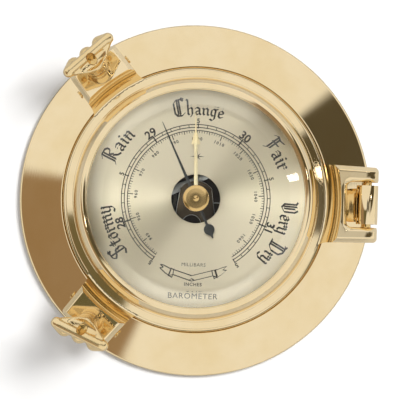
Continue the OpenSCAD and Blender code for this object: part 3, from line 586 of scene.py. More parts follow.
def ear_ring(x, half, flare_end, end, top, foot):
    """An ear's section at one place along it."""
    width = half - EAR_DRAFT * max(x - DOOR_R, 0) / (end - DOOR_R)
    high, low = top(x), foot(x)
    if x < flare_end:
        width += FLARE * (1 - math.sqrt(1 - min((flare_end - x) / FLARE_L, 0.999) ** 2))
    if x > end - EAR_CORNER:
        into = x - end + EAR_CORNER
        width -= EAR_CORNER - math.sqrt(max(EAR_CORNER ** 2 - into ** 2, 0))
        if top is slope_z:
            high -= EAR_CHAMFER * 0.9 * into / EAR_CORNER
    cut = max(min(EAR_CHAMFER, 0.42 * (high - low)), 0.02)
    edge = [(width, high - cut - 1.0), (width, high - cut), (width - cut, high), (width - cut - 1.0, high)]
    side = [(width, low), (width, (low + high - cut) / 2)] + rounded(edge, [0, cut * 0.45, cut * 0.45, 0], 3)
    side += [((width - cut) * share, high) for share in (0.5, 0.2)]
    return [(x, y, z) for y, z in side] + [(x, -y, z) for y, z in side[::-1]]


def ear(half, end, top, foot):
    """A cast ear along +X: its sides flow out of the ring, and its top edges are broken by a chamfer."""
    start = math.sqrt(DOOR_R ** 2 - half ** 2)
    flare_end = start + 3.7
    corner = end - EAR_CORNER
    bend = [corner + EAR_CORNER * math.sin(math.radians(a)) for a in range(0, 91, 10)]
    places = sorted({*np.linspace(start - 2.2, flare_end, 12), *np.linspace(flare_end, corner, 10), *bend})
    return loft([ear_ring(x, half, flare_end, end, top, foot) for x in places])


def cove_cutter():
    """What is turned off above the shelf: a cove that rises from the door's rim to the ridge."""
    inner, above = FACE_R - 2, RIDGE_Z + 7
    shelf = [(inner, above), (inner, SHELF_Z - DIP), (FACE_R + 0.6, SHELF_Z - DIP),
             (DOOR_R - 0.6, RIM_Z - DIP)]
    cove = arc_between((DOOR_R + 0.3, RIM_Z - DIP), (RIDGE_R, RIDGE_Z), 9, 16)
    ridge = [(RIDGE_R - 0.02, RIDGE_Z - 0.75), (RIDGE_R + 0.3, RIDGE_Z - 0.25),
             (RIDGE_R + 1.2, RIDGE_Z + 0.45), (RIDGE_R + 1.2, above)]
    return revolve(shelf + cove[:-2] + ridge, 360)


def gap_ring(grow, level):
    """The gap of the fork in plan, grown sideways, at a level measured from the top of the ear."""
    low, half, radius = GAP_START - grow, GAP_HALF + grow, GAP_CORNER + grow * 0.4
    side = [(x, half) for x in np.linspace(GAP_OPEN, low + radius + 0.5, 30)]
    for a in range(0, 91, 15):
        bend = math.radians(a)
        side.append((low + radius - radius * math.sin(bend), half - radius + radius * math.cos(bend)))
    side += [(x, -y) for x, y in side[::-1]]
    return [(x, y, hinge_top(min(x, HINGE_EAR_END - 0.01)) + level) for x, y in side]


def door_ears():
    """The three ears, with the cove turned over them and the fork's gap cut, its edges rolled over."""
    gap = loft([gap_ring(grow, level) for grow, level in (
        (0, -14), (0, -1.75), (0.25, -1.3), (1.45, -0.15), (1.9, 0.15), (1.9, 6))])
    ears = [turned(ear(DOG_EAR_HALF, DOG_EAR_END, slope_z, dog_foot), side * DOG_ANGLE)
            for side in SIDES]
    ears.append(ear(HINGE_EAR_HALF, HINGE_EAR_END, hinge_top, hinge_foot))
    return boolean(to_object(joined(*ears)), [cove_cutter(), gap], "DIFFERENCE")


door = boolean(to_object(revolve(door_section(), 360)), [door_ears()], "UNION")
dress(door, "cast_door", brass, "door", "polished_brass", ("door_ring",), 30, even=True)


# Wing nuts: a turned hub and two thick, lobed wings, cast in one and filed smooth

WASHER_T = 1.4
HUB_FOOT = WASHER_T + 0.15
# The ridge over the wings: how far it leans out, its height, and half its length
WING_OUT, WING_TOP, WING_SPAN = 2.1, 14.4, 10.3
NUT_VOXEL, NUT_FILING = 0.25, 14
STUD_HOLE_R = 1.93


def wing_hub():
    """The bulging hub, up its stud's axis."""
    foot = [(0, HUB_FOOT), (3.7, HUB_FOOT), (3.7, HUB_FOOT + 0.6)]
    bulge = arc_between((4.5, HUB_FOOT + 3), (3.0, 11.0), 6, 8)
    return revolve(foot + bulge + [(2.5, 11.35), (0, 11.4)], 64)


def wing_leaf():
    """The leaf between the wings, with its dish."""
    tips = [ball((WING_OUT - 0.5, side * (WING_SPAN - 0.4), WING_TOP - 1.2), 1.6) for side in SIDES]
    leaf = to_object(skin_over(*tips, ball((-1.9, 0, 10.2), 3.0), ball((2.6, 0, 9.6), 3.2)))
    return to_bmesh(boolean(leaf, [ball((-1.6, 0, 15.2), 1, (3.2, 7.4, 4.0))], "DIFFERENCE"))


def wing_lobes():
    """Three lobes that lean outwards, and the thick rounded ridge over them."""
    lobes = []
    for side in SIDES:
        tip = ball((WING_OUT, side * WING_SPAN, WING_TOP - 0.6), 2.3)
        lobes.append(skin_over(ball((WING_OUT + 1.5, side * 6.6, 11.0), 3.2), tip))
        lobes.append(skin_over(ball((WING_OUT + 0.8, side * 4.0, 10.0), 2.6), ball((1, side * 2, 7), 2.0)))
    lobes.append(skin_over(ball((WING_OUT + 1.2, 0, 10.4), 3.5), ball((0, 0, 7), 3.0)))
    lobes.append(skin_over(*(ball((WING_OUT, side * (WING_SPAN - 1), WING_TOP), 1.95) for side in SIDES)))
    return lobes


def wing_nut():
    """Leaf, hub, lobes and ridge grown into one skin, with a hole for the stud."""
    nut = to_object(joined(wing_leaf(), wing_hub(), *wing_lobes()))
    modify(nut, "REMESH", mode="VOXEL", voxel_size=NUT_VOXEL)
    modify(nut, "SMOOTH", factor=0.5, iterations=NUT_FILING)
    hole = revolve([(0, -1), (STUD_HOLE_R, -1), (STUD_HOLE_R, 30), (0, 30)], 48)
    return boolean(nut, [hole], "DIFFERENCE")


def dog_frame(sign):
    """Where a dog stands: its origin is on top of the ear, and its Z is the stud's axis."""
    seat = Vector((DOG_R, 0, slope_z(DOG_R)))
    lean = Matrix.Rotation(SLOPE, 4, "Y")
    return Matrix.Rotation(sign * DOG_ANGLE, 4, "Z") @ Matrix.Translation(seat) @ lean


nut_pattern = wing_nut()
for name, sign, turn_deg in (("upper", 1, 4), ("lower", -1, 15)):
    nut = to_object(bmesh.new())
    nut.data = nut_pattern.data.copy()
    nut.data.transform(dog_frame(sign) @ Matrix.Rotation(math.radians(turn_deg), 4, "Z"))
    node = name + "_wing_nut"
    dress(nut, node + "_cast", filed_brass, name + "_dog", "polished_brass", (node,), 60)
bpy.data.objects.remove(nut_pattern)


# Glass, dial and knob, each turned about the dial's axis

BEVEL_W, BEVEL_D = 6.2, 1.95
BUSH_HOLE_R = 2.5
DIAL_HOLE_R, DIAL_EDGE = 9.9, 0.12
DIAL_FOOT = dial_low.z


def glass_section():
    """A plate whose bevel starts under the door's lap."""
    bevel_z = GLASS_TOP - BEVEL_D
    return [(BUSH_HOLE_R, GLASS_FOOT), (GLASS_R, GLASS_FOOT), (GLASS_R, bevel_z), (VIEW_R + 0.3, bevel_z),
            (VIEW_R - BEVEL_W, GLASS_TOP), (BUSH_HOLE_R, GLASS_TOP)]


def dial_section():
    """A flat sheet, with the edge of its hole broken."""
    return [(DIAL_HOLE_R, DIAL_FOOT), (DIAL_R, DIAL_FOOT), (DIAL_R, DIAL_TOP),
            (DIAL_HOLE_R + DIAL_EDGE, DIAL_TOP), (DIAL_HOLE_R, DIAL_TOP - DIAL_EDGE)]


def knob_section():
    """A button with rounded edges, a slightly domed top and a dimple."""
    radius, foot, top = knob_high.x, knob_low.z, knob_high.z
    side = [(0, foot), (radius - 0.5, foot)] + arc((radius - 0.35, foot + 0.4), 0.35, -60, 0, 3)
    shoulder = arc((radius - 0.6, top - 0.75), 0.6, 0, 75, 6)
    dome = [(radius - 1.4, top - 0.13), (radius - 2.6, top - 0.05), (1.6, top - 0.01), (0.75, top)]
    return side + shoulder + dome + [(0.6, top - 0.05), (0.35, top - 0.3), (0, top - 0.4)]


glass = to_object(revolve(glass_section(), 256))
dress(glass, "bevelled_glass", glass_material, "door", "clear_glass", ("glass",), 4)
dial = to_object(revolve(dial_section(), 256))
dress(dial, "brushed_dial", dial_metal, "case", "dial_metal", ("dial",), 30)
knob = to_object(revolve(knob_section(), 128))
dress(knob, "turned_knob", turned_brass, "set_hand", "polished_brass", ("set_knob",), 30)


# Pieces whose CAD form is right: a smoothly shaded copy with its edges eased

EASED_DEG = 35


def cad_copy(node, mat, slot, edge):
    """A merged and smoothly shaded copy of a CAD node, with its edges eased by a small bevel."""
    source = frame["nodes"][node]
    bm = bmesh.new()
    bm.from_mesh(source.data)
    bm.transform(Matrix.Scale(1 / MM, 4))
    bmesh.ops.remove_doubles(bm, verts=bm.verts, dist=2e-3)
    obj = to_object(bm, node + "_finished")
    if edge:
        limit = math.radians(EASED_DEG)
        modify(obj, "BEVEL", width=edge, segments=2, limit_method="ANGLE", angle_limit=limit)
    return dress(obj, node + "_finished", mat, source["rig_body"], slot, (node,), EASED_DEG)


# Node, material, slot and the width of its eased edges
for copied in (
        ("hinge_bracket", brass, "polished_brass", 0.35), ("hinge_pin", turned_brass, "turned_brass", 0.2),
        ("upper_dog_stud", turned_brass, "turned_brass", 0.12),
        ("lower_dog_stud", turned_brass, "turned_brass", 0.12),
        ("upper_dog_washer", turned_brass, "turned_brass", 0.2),
        ("lower_dog_washer", turned_brass, "turned_brass", 0.2),
        ("upper_cross_pin", turned_brass, "turned_brass", 0.2),
        ("lower_cross_pin", turned_brass, "turned_brass", 0.2),
        ("set_hand_bush", turned_brass, "turned_brass", 0.12),
        ("set_spindle", turned_brass, "turned_brass", 0.1),
        ("set_hand", satin_brass, "polished_brass", 0.06), ("indicating_hand", black, "black_enamel", 0.04),
        ("glass_retaining_ring", turned_brass, "turned_brass", 0.15),
        ("glass_gasket", rubber, "gasket_rubber", 0.1), ("case_drum", spun_brass, "spun_brass", 0.15),
        ("back_cover", spun_brass, "spun_brass", 0.15),
        ("dial_retaining_ring", turned_brass, "turned_brass", 0.1),
        ("back_cover_screws", turned_brass, "screw_brass", 0.1),
        ("hinge_bracket_screws", turned_brass, "screw_brass", 0.1),
        ("movement_plate", plate_steel, "plate_steel", 0.1), ("movement_screws", steel, "steel_screw", 0.1),
        ("aneroid_capsule", nickel, "nickel_silver", 0.1), ("main_spring", blued_steel, "blued_steel", 0.1),
        ("main_spring_screws", steel, "steel_screw", 0.1), ("bridge_pillars", steel, "nickel_silver", 0.1),
        ("bridge_screws", steel, "steel_screw", 0.1), ("arbor_foot", spun_brass, "spun_brass", 0.1),
        ("rocker_bearings", spun_brass, "spun_brass", 0.1), ("hairspring", blued_steel, "blued_steel", 0.0),
        ("needle_arbor", steel, "steel_screw", 0.05), ("chain", steel, "nickel_silver", 0.03),
        ("rocking_shaft", steel, "nickel_silver", 0.08), ("pressure_lever", steel, "nickel_silver", 0.08),
        ("adjusting_screw", turned_brass, "screw_brass", 0.1)):
    cad_copy(*copied)

# The bridge is blackened, with bright polished chamfers: its faces between flat and upright
bridge = cad_copy("arbor_bridge", gunmetal, "nickel_silver", 0.28)
bridge.data.materials.append(steel)
for face in bridge.data.polygons:
    face.material_index = int(0.15 < face.normal.z < 0.95)


# Dial print: thin ink on the brushed face. Angles run clockwise from 12 o'clock, in degrees.

INK_T = 0.012
INK_TOP = DIAL_TOP + INK_T
INK_MIDDLE = DIAL_TOP + INK_T / 2


def tick_group():
    """Geometry nodes: bars in a fan about the dial's axis, from a start angle by equal steps."""
    tree = bpy.data.node_groups.new("tick_fan", "GeometryNodeTree")
    tree.interface.new_socket("Fan", in_out="OUTPUT", socket_type="NodeSocketGeometry")
    sockets = {}
    for label, kind in (("Count", "Int"), ("Start", "Float"), ("Step", "Float"), ("Middle", "Float"),
                        ("Bar", "Vector"), ("Ink", "Material")):
        socket = tree.interface.new_socket(label, in_out="INPUT", socket_type="NodeSocket" + kind)
        sockets[label] = socket.identifier
    given = add(tree, "NodeGroupInput").outputs
    row = add(tree, "GeometryNodeMeshLine", {}, {"Count": given["Count"]})
    turn = sums(tree, "MULTIPLY", add(tree, "GeometryNodeInputIndex").outputs[0], given["Step"])
    turn = sums(tree, "MULTIPLY", sums(tree, "ADD", turn, given["Start"]), -math.pi / 180)
    spin = add(tree, "ShaderNodeCombineXYZ", {}, {"Z": turn})
    reach = add(tree, "ShaderNodeCombineXYZ", {"Z": INK_MIDDLE}, {"Y": given["Middle"]})
    place = add(tree, "ShaderNodeVectorRotate", {"rotation_type": "Z_AXIS"},
                {"Vector": reach.outputs[0], "Angle": turn})
    spots = add(tree, "GeometryNodeSetPosition", {},
                {"Geometry": row.outputs[0], "Position": place.outputs[0]})
    bar = add(tree, "GeometryNodeMeshCube", {}, {"Size": given["Bar"]})
    bars = add(tree, "GeometryNodeInstanceOnPoints", {},
               {"Points": spots.outputs[0], "Instance": bar.outputs[0], "Rotation": spin.outputs[0]})
    real = add(tree, "GeometryNodeRealizeInstances", {}, {0: bars.outputs[0]})
    inked = add(tree, "GeometryNodeSetMaterial", {}, {"Geometry": real.outputs[0], "Material": given["Ink"]})
    out = add(tree, "NodeGroupOutput")
    tree.links.new(inked.outputs[0], out.inputs[0])
    return tree, sockets


fan_tree, fan_sockets = tick_group()


def fan(count, start, step, low, high, width):
    """The ticks of one kind, as a bmesh."""
    host = to_object(bmesh.new(), "fan")
    mod = host.modifiers.new("fan", "NODES")
    mod.node_group = fan_tree
    for label, value in (("Count", count), ("Start", start), ("Step", step), ("Middle", (low + high) / 2),
                         ("Bar", (width, high - low, INK_T)), ("Ink", ink)):
        mod[fan_sockets[label]] = value
    return to_bmesh(host)


def around(radius, angle):
    """A point at a radius and a clockwise angle in radians."""
    return (radius * math.sin(angle), radius * math.cos(angle))


def add_flat(bm, points):
    """Adds one convex patch of ink."""
    area = sum(a[0] * b[1] - a[1] * b[0] for a, b in zip(points, points[1:] + points[:1]))
    points = points if area > 0 else points[::-1]
    low = [bm.verts.new((x, y, DIAL_TOP)) for x, y in points]
    high = [bm.verts.new((x, y, INK_TOP)) for x, y in points]
    bm.faces.new(low[::-1])
    bm.faces.new(high)
    for i in range(len(points)):
        j = (i + 1) % len(points)
        bm.faces.new((low[i], low[j], high[j], high[i]))


def arc_line(radius, width, start, end):
    """An arc of ink, in patches of about 1.5 degrees."""
    steps = int((end - start) / 1.5)
    sweep = [math.radians(start + (end - start) * i / steps) for i in range(steps + 1)]
    inner, outer = radius - width / 2, radius + width / 2
    bm = bmesh.new()
    for a, b in zip(sweep, sweep[1:]):
        add_flat(bm, [around(inner, a), around(outer, a), around(outer, b), around(inner, b)])
    return bm


def hull(points):
    """The convex outline of some points, anticlockwise."""
    points = sorted(set((round(x, 5), round(y, 5)) for x, y in points))
    halves = []
    for run in (points, points[::-1]):
        line = []
        for p in run:
            while len(line) > 1 and ((line[-1][0] - line[-2][0]) * (p[1] - line[-2][1])
                                     - (line[-1][1] - line[-2][1]) * (p[0] - line[-2][0])) <= 0:
                line.pop()
            line.append(p)
        halves += line[:-1]
    return halves


# A flat nib: its width as a share of the letter's height, its tilt in degrees, and its thickness
# as a share of its width
NIB, NIB_TILT, NIB_EDGE = 0.23, 42, 0.3


def pen(bm, stroke, nib, where):
    """Draws a stroke with a flat nib, each part as the hull of the nib at its two ends."""
    corners = [(a * nib[0] + b * nib[1] * NIB_EDGE, a * nib[1] - b * nib[0] * NIB_EDGE)
               for a in (-0.5, 0.5) for b in (-0.5, 0.5)]
    for a, b in zip(stroke, stroke[1:]):
        add_flat(bm, hull([where(p[0] + x, p[1] + y) for p in (a, b) for x, y in corners]))


def minim(x):
    """The short upright stroke that many letters share."""
    return [(x + a, b) for a, b in ((-0.13, 0.86), (0, 0.76), (0, 0.2), (0.13, 0.08))]


# Letters: the width, and the strokes of the nib. The unit is the height of a small letter.
LETTERS = {
    "a": (0.85, [
        [(0.1, 0.8), (0.32, 0.94), (0.58, 0.78), (0.58, 0.2), (0.72, 0.07)],
        [(0.54, 0.55), (0.2, 0.42), (0.18, 0.2), (0.34, 0.06), (0.54, 0.2)]]),
    "e": (0.78, [
        [(0.2, 0.46), (0.62, 0.62), (0.6, 0.78), (0.42, 0.95), (0.18, 0.76), (0.18, 0.24), (0.38, 0.06),
         (0.64, 0.2)]]),
    "g": (0.84, [
        [(0.58, 0.84), (0.38, 0.95), (0.17, 0.76), (0.17, 0.26), (0.36, 0.08), (0.58, 0.22)],
        [(0.6, 0.86), (0.6, -0.24), (0.4, -0.46), (0.12, -0.34)], [(0.56, 0.9), (0.8, 0.97)]]),
    "h": (0.86, [
        [(0.05, 1.72), (0.18, 1.6), (0.18, 0.2), (0.31, 0.08)],
        [(0.2, 0.7), (0.5, 0.94), (0.64, 0.8), (0.64, 0.14), (0.46, -0.16)]]),
    "i": (0.44, [minim(0.2), [(0.14, 1.3), (0.26, 1.2)]]),
    "m": (1.3, [
        minim(0.18), minim(0.62), minim(1.06), [(0.2, 0.72), (0.5, 0.93)], [(0.64, 0.72), (0.94, 0.93)]]),
    "n": (0.88, [minim(0.18), minim(0.64), [(0.2, 0.72), (0.52, 0.93)]]),
    "o": (0.82, [
        [(0.4, 0.95), (0.17, 0.76), (0.17, 0.26), (0.4, 0.05)],
        [(0.4, 0.95), (0.63, 0.76), (0.63, 0.26), (0.4, 0.05)]]),
    "r": (0.6, [minim(0.18), [(0.2, 0.72), (0.42, 0.93), (0.56, 0.8)]]),
    "t": (0.56, [[(0.22, 1.28), (0.22, 0.2), (0.36, 0.07), (0.52, 0.18)], [(0.02, 0.92), (0.5, 0.92)]]),
    "y": (0.84, [
        [(0.04, 0.95), (0.17, 0.8), (0.17, 0.26), (0.36, 0.08), (0.6, 0.24)],
        [(0.52, 0.96), (0.63, 0.84), (0.63, -0.16), (0.42, -0.46), (0.12, -0.36)]]),
    "C": (1.42, [
        [(1.2, 1.6), (0.95, 1.84), (0.42, 1.8), (0.16, 1.45), (0.16, 0.45), (0.42, 0.1), (0.9, 0.06),
         (1.2, 0.3)], [(0.52, 1.72), (0.52, 0.25)], [(0.74, 1.78), (0.74, 0.22)],
        [(1.0, 1.98), (1.25, 1.8)]]),
    "D": (1.42, [
        [(0.1, 1.7), (0.4, 1.86), (0.85, 1.8), (1.2, 1.4), (1.2, 0.6), (0.86, 0.14), (0.1, 0.1)],
        [(0.36, 1.74), (0.36, 0.2)], [(0.6, 1.74), (0.6, 0.22)], [(0.1, 1.98), (0.3, 1.84)]]),
    "F": (1.2, [
        [(0.05, 1.6), (0.3, 1.86), (0.75, 1.7), (1.2, 1.86)], [(0.42, 1.72), (0.42, 0.2), (0.2, -0.1)],
        [(0.66, 1.66), (0.66, 0.35)], [(0.3, 0.98), (1.05, 1.08)]]),
    "R": (1.36, [
        [(0.05, 1.6), (0.3, 1.86), (0.85, 1.84), (1.06, 1.6), (1.06, 1.25), (0.6, 1.02)],
        [(0.34, 1.74), (0.34, 0.25), (0.14, 0.06)], [(0.56, 1.7), (0.56, 0.3)],
        [(0.66, 1.02), (1.0, 0.3), (1.28, 0.08)]]),
    "S": (1.3, [
        [(1.16, 1.62), (0.9, 1.86), (0.36, 1.78), (0.2, 1.44), (0.46, 1.16), (0.9, 0.96), (1.08, 0.6),
         (0.92, 0.2), (0.5, 0.06), (0.1, 0.3)], [(0.66, 1.74), (0.66, 0.22)], [(0.98, 2.0), (1.2, 1.84)]]),
    "V": (1.36, [
        [(0.02, 1.8), (0.26, 1.62), (0.26, 0.4), (0.62, 0.08), (1.1, 0.42), (1.1, 1.5), (0.9, 1.86)],
        [(0.5, 1.72), (0.5, 0.3)], [(0.74, 1.5), (0.74, 0.4)]]),
    " ": (0.7, [])}
LETTER_H = 3.35


def on_arc(angle, middle, radius):
    """How a letter's points are set on the dial: its middle at an angle, its foot on a radius."""
    sine, cosine = math.sin(angle), math.cos(angle)

    def where(x, y):
        along, up = x - middle, radius + y
        return (along * cosine + up * sine, up * cosine - along * sine)
    return where


def word(bm, text, clock, radius, stretch):
    """Sets a word along an arc, its small letters standing on the radius."""
    start = -sum(LETTERS[c][0] for c in text) / 2
    tilt = math.radians(NIB_TILT)
    blade = (NIB * LETTER_H * math.cos(tilt), NIB * LETTER_H * math.sin(tilt))
    for c in text:
        wide, strokes = LETTERS[c]
        angle = math.radians(clock) + (start + wide / 2) * LETTER_H * stretch / (radius + LETTER_H * 0.5)
        where = on_arc(angle, wide / 2 * LETTER_H * stretch, radius)
        for stroke in strokes:
            pen(bm, [(x * LETTER_H * stretch, y * LETTER_H) for x, y in stroke], blade, where)
        start += wide


def printed(text, clock, size, radius, bold, spacing, upright=False):
    """A number or a line of capitals in the built-in face, as a bmesh of ink."""
    curve = bpy.data.curves.new("print", "FONT")
    curve.body = text
    curve.size = size
    curve.offset = bold
    curve.space_character = spacing
    curve.align_x, curve.align_y = "CENTER", "CENTER"
    curve.extrude = INK_T / 2
    curve.resolution_u = 4
    holder = bpy.data.objects.new("print", curve)
    bpy.context.scene.collection.objects.link(holder)
    bm = to_bmesh(holder)
    bmesh.ops.remove_doubles(bm, verts=bm.verts, dist=0.0005)
    turn = math.radians(0 if upright else -clock)
    place = Matrix.Translation((*around(radius, math.radians(clock)), INK_MIDDLE))
    bm.transform(place @ Matrix.Rotation(turn, 4, "Z"))
    return bm


# The scale: 73.2 degrees to the inch with 29.5 at the top, and 2.165 degrees to the millibar
INCH_DEG, MILLIBAR_DEG = 73.2, 2.165


def inch(x):
    return INCH_DEG * (x - 29.5)


def millibar(x):
    return MILLIBAR_DEG * (x - 1000) - 0.9


START, END = inch(27.5), inch(31.5)
# Radius and width of the scale's lines
SCALE_LINES = ((30.2, 0.36), (29.0, 0.36), (27.75, 0.34))
# Ticks: how many, the first one, their step, their inner and outer radius, and their width
TICKS = ((2, START, END - START, 29.0, 30.3, 0.3), (41, START, INCH_DEG / 10, 29.0, 30.3, 0.28),
         (9, START, INCH_DEG / 2, 28.6, 30.6, 0.4), (4, inch(28), INCH_DEG, 27.7, 31.0, 0.55),
         (135, millibar(933), MILLIBAR_DEG, 26.75, 27.8, 0.23),
         (27, millibar(935), MILLIBAR_DEG * 5, 26.4, 27.8, 0.28),
         (13, millibar(940), MILLIBAR_DEG * 10, 25.5, 27.8, 0.36))
# Numbers, and capitals at 6 o'clock: their size, radius, boldness and spacing
INCHES, HALVES, MILLIBARS = (4.7, 32.0, 0.13, 1.0), (2.6, 31.6, 0.08, 1.0), (1.75, 24.3, 0.05, 1.35)
CAPITALS = (("MILLIBARS", (2.0, 26.8, 0.0, 1.1)), ("INCHES", (1.9, 34.8, 0.05, 1.15)),
            ("BAROMETER", (3.3, 38.8, 0.0, 1.1)))
# Weather words: angle, radius and how far they are stretched
WEATHER = (("Stormy", -113.2, 34.6, 1.2), ("Rain", -57.2, 35.2, 1.3), ("Change", 0.2, 34.0, 1.1),
           ("Fair", 59.2, 35.2, 1.3), ("Very Dry", 111.0, 34.8, 1.13))
# A ribbon with folded ends under the hole: its strokes and their nib
RIBBON = (([(-9.3, -28.4), (-7.9, -29.0), (-0.6, -31.2), (6.6, -29.2), (9.3, -28.4)], 0.42),
          ([(-8.2, -31.0), (-0.6, -33.4), (8.0, -31.0)], 0.42),
          ([(-7.9, -28.6), (-8.2, -31.0)], 0.42), ([(7.5, -28.7), (8.0, -31.0)], 0.42),
          ([(-9.0, -28.6), (-9.9, -31.2)], 0.75), ([(8.8, -28.6), (9.7, -31.2)], 0.75),
          ([(-8.4, -31.0), (-10.2, -31.6)], 0.4), ([(8.2, -31.0), (9.9, -31.7)], 0.4),
          ([(-9.4, -28.6), (-12.0, -27.3), (-13.4, -27.0), (-12.2, -28.2), (-13.6, -28.4), (-11.4, -30.4),
            (-8.6, -32.2), (-8.4, -31.0)], 0.42),
          ([(9.2, -28.6), (11.8, -27.5), (13.4, -27.0), (12.0, -28.4), (13.4, -28.6), (11.2, -30.6),
            (8.6, -32.2), (8.3, -31.0)], 0.42),
          ([(-1.6, -33.0), (-0.6, -32.4), (0.4, -33.0)], 0.45))
# The slope of the ribbon's nib, across and up
RIBBON_NIB = (0.74, 0.67)


def add_star(bm):
    """A plain eight-pointed star above the hole, with longer points every quarter."""
    middle, long, short, waist, half = 17.2, 3.1, 2.0, 0.62, 0.39
    for k in range(8):
        a = math.radians(45 * k)
        kite = [(0, 0), around(waist, a - half), around(short if k % 2 else long, a), around(waist, a + half)]
        add_flat(bm, [(x, middle + y) for x, y in kite])


def dial_print():
    """Everything that is printed, in one mesh."""
    prints = [arc_line(radius, width, START, END) for radius, width in SCALE_LINES]
    prints += [fan(*ticks) for ticks in TICKS]
    prints += [printed(str(x), inch(x), *INCHES) for x in (28, 29, 30, 31)]
    prints += [printed("5", inch(x), *HALVES) for x in (27.5, 28.5, 29.5, 30.5, 31.5)]
    prints += [printed(str(x), millibar(x), *MILLIBARS) for x in range(940, 1061, 10)]
    prints += [printed(text, 180, *face, upright=True) for text, face in CAPITALS]
    drawn = bmesh.new()
    for entry in WEATHER:
        word(drawn, *entry)
    for stroke, nib in RIBBON:
        pen(drawn, stroke, (nib * RIBBON_NIB[0], nib * RIBBON_NIB[1]), lambda x, y: (x, y))
    add_star(drawn)
    return joined(*prints, drawn)


dress(to_object(dial_print()), "dial_print", ink, "case", sharp=30)


# Stage and light: a white studio with a dark flag on the right and a brown one on the left

STUDIO, CARD, CEILING, BACKGROUND = grey(0.94), grey(0.66), grey(0.15), grey(1.0)
DARK_FLAG = (0.095, 0.08, 0.05, 1)
BROWN_HIGH, BROWN_LOW = (0.14, 0.13, 0.07, 1), (0.34, 0.24, 0.15, 1)


def patch(tree, clock, zenith, sides, heights, soft=2.5):
    """A mask over part of the sky, between two slanted sides and two heights, in degrees.

    A side is its clock angle at the zenith and its slant, and its edge is soft."""
    mask = None
    for (base, slant), sign in zip(sides, SIDES):
        slide = add(tree, "ShaderNodeMath", {"operation": "MULTIPLY_ADD", 1: -slant, 2: -base}, {0: zenith})
        off = sums(tree, "ADD", clock, slide.outputs[0])
        edge = smooth_edge(tree, off, -soft * sign, soft * sign)
        mask = edge if mask is None else sums(tree, "MULTIPLY", mask, edge)
    for height, sign in zip(heights, SIDES):
        edge = smooth_edge(tree, zenith, height - soft * sign, height + soft * sign)
        mask = sums(tree, "MULTIPLY", mask, edge)
    return mask


def studio_world():
    """The sky that the brass mirrors. The camera itself sees plain white past the floor."""
    world = bpy.data.worlds.new("studio")
    world.use_nodes = True
    bpy.context.scene.world = world
    sky = world.node_tree
    direction = add(sky, "ShaderNodeTexCoord").outputs["Generated"]
    way = add(sky, "ShaderNodeSeparateXYZ", {}, {0: direction}).outputs
    clock = sums(sky, "DEGREES", sums(sky, "ARCTAN2", way["X"], way["Y"]))
    whole_clock = add(sky, "ShaderNodeMath", {"operation": "WRAP", 1: 360.0, 2: 0.0}, {0: clock}).outputs[0]
    zenith = sums(sky, "DEGREES", sums(sky, "ARCCOSINE", way["Z"]))
    right_flag = patch(sky, clock, zenith, ((62.0, -0.2), (126.0, -0.7)), (8.0, 72.0))
    left_flag = patch(sky, whole_clock, zenith, ((222.0, -0.3), (247.0, 0.5)), (8.0, 72.0))
    brown = mixed(sky, smooth_edge(sky, zenith, 30.0, 46.0), BROWN_HIGH, BROWN_LOW)
    shade = mixed(sky, right_flag, STUDIO, DARK_FLAG)
    shade = mixed(sky, left_flag, shade, brown)
    # A pale card inside the right flag, which the slope of the hinge's ear shows
    card = patch(sky, clock, zenith, ((78.0, 0.0), (112.0, 0.0)), (17.0, 33.0), 4.0)
    shade = mixed(sky, card, shade, CARD)
    # The dark of the ceiling behind the camera, which keeps the glass clear
    shade = mixed(sky, smooth_edge(sky, zenith, 5.0, 10.0), CEILING, shade)
    seen = mixed(sky, camera_ray(sky), shade, BACKGROUND)
    sky.links.new(seen, sky.nodes["Background"].inputs["Color"])


def toward(clock_deg, zenith_deg, distance):
    """A place in metres, by its angle from 12 o'clock and its angle from straight above."""
    z = math.radians(zenith_deg)
    return (*around(distance * math.sin(z), math.radians(clock_deg)), distance * math.cos(z))


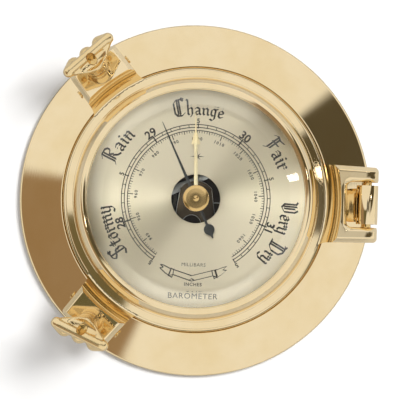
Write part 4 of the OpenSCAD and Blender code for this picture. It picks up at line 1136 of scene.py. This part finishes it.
def soft_box(name, place, size, power, shows_in):
    """A square lamp that looks at the barometer and shows in its brass, only in its dial, or in neither."""
    data = bpy.data.lights.new(name, "AREA")
    data.energy = power
    data.size = size
    light = bpy.data.objects.new(name, data)
    light.location = place
    light.rotation_mode = "QUATERNION"
    light.rotation_quaternion = (-Vector(place)).to_track_quat("-Z", "Y")
    light.visible_glossy = shows_in == "brass"
    light.visible_transmission = shows_in == "dial"
    light.visible_diffuse = shows_in != "dial"
    bpy.context.scene.collection.objects.link(light)


def paper_floor():
    """A pale floor, 4 m wide and 10 mm thick, no brighter in the brass than the studio around it."""
    half, depth, pale, mirrored = 2000, -10, "D8D8D8", "AAAAAA"
    outline = [(-half, -half), (half, -half), (half, half), (-half, half)]
    floor = to_object(prism(outline, depth, 0), "floor")
    floor.data.transform(Matrix.Scale(MM, 4))
    paper, tree, shader = new_material("white_paper", pale, 0.0, 0.9)
    tree.links.new(mixed(tree, camera_ray(tree), rgb(mirrored), rgb(pale)), shader.inputs["Base Color"])
    floor.data.materials.append(paper)


def photo_camera():
    """The photograph's view, in metres: from nearly straight above, turned by two degrees."""
    data = bpy.data.cameras.new("camera")
    data.sensor_width = 36
    data.lens = 172.7
    camera = bpy.data.objects.new("camera", data)
    bpy.context.scene.collection.objects.link(camera)
    bpy.context.scene.camera = camera
    camera.location = (-0.0095, -0.022, 0.80)
    camera.rotation_mode = "QUATERNION"
    ahead = Vector((0.0115, 0.0221, -0.797)).normalized()
    roll = math.radians(2.0)
    side = ahead.cross(Vector((-math.sin(roll), math.cos(roll), 0))).normalized()
    camera.rotation_quaternion = Matrix((side, side.cross(ahead), -ahead)).transposed().to_quaternion()


studio_world()
# Lamps: place, size in metres, power in watts, and what shows them
soft_box("shadow_key", toward(58, 36, 1.3), 0.5, 21.0, None)
soft_box("left_fan", toward(272, 32, 1.2), 0.08, 14.0, "dial")
soft_box("right_fan", toward(86, 34, 1.2), 0.03, 4.5, "dial")
soft_box("upper_card", toward(0, 26, 1.2), 0.6, 1.0, "dial")
soft_box("lower_card", toward(128, 28, 1.2), 0.45, 0.6, "dial")
soft_box("glass_glint", toward(73.6, 39.2, 1.245), 0.055, 0.16, "brass")
paper_floor()
photo_camera()
bpy.context.scene.view_settings.view_transform = "Standard"
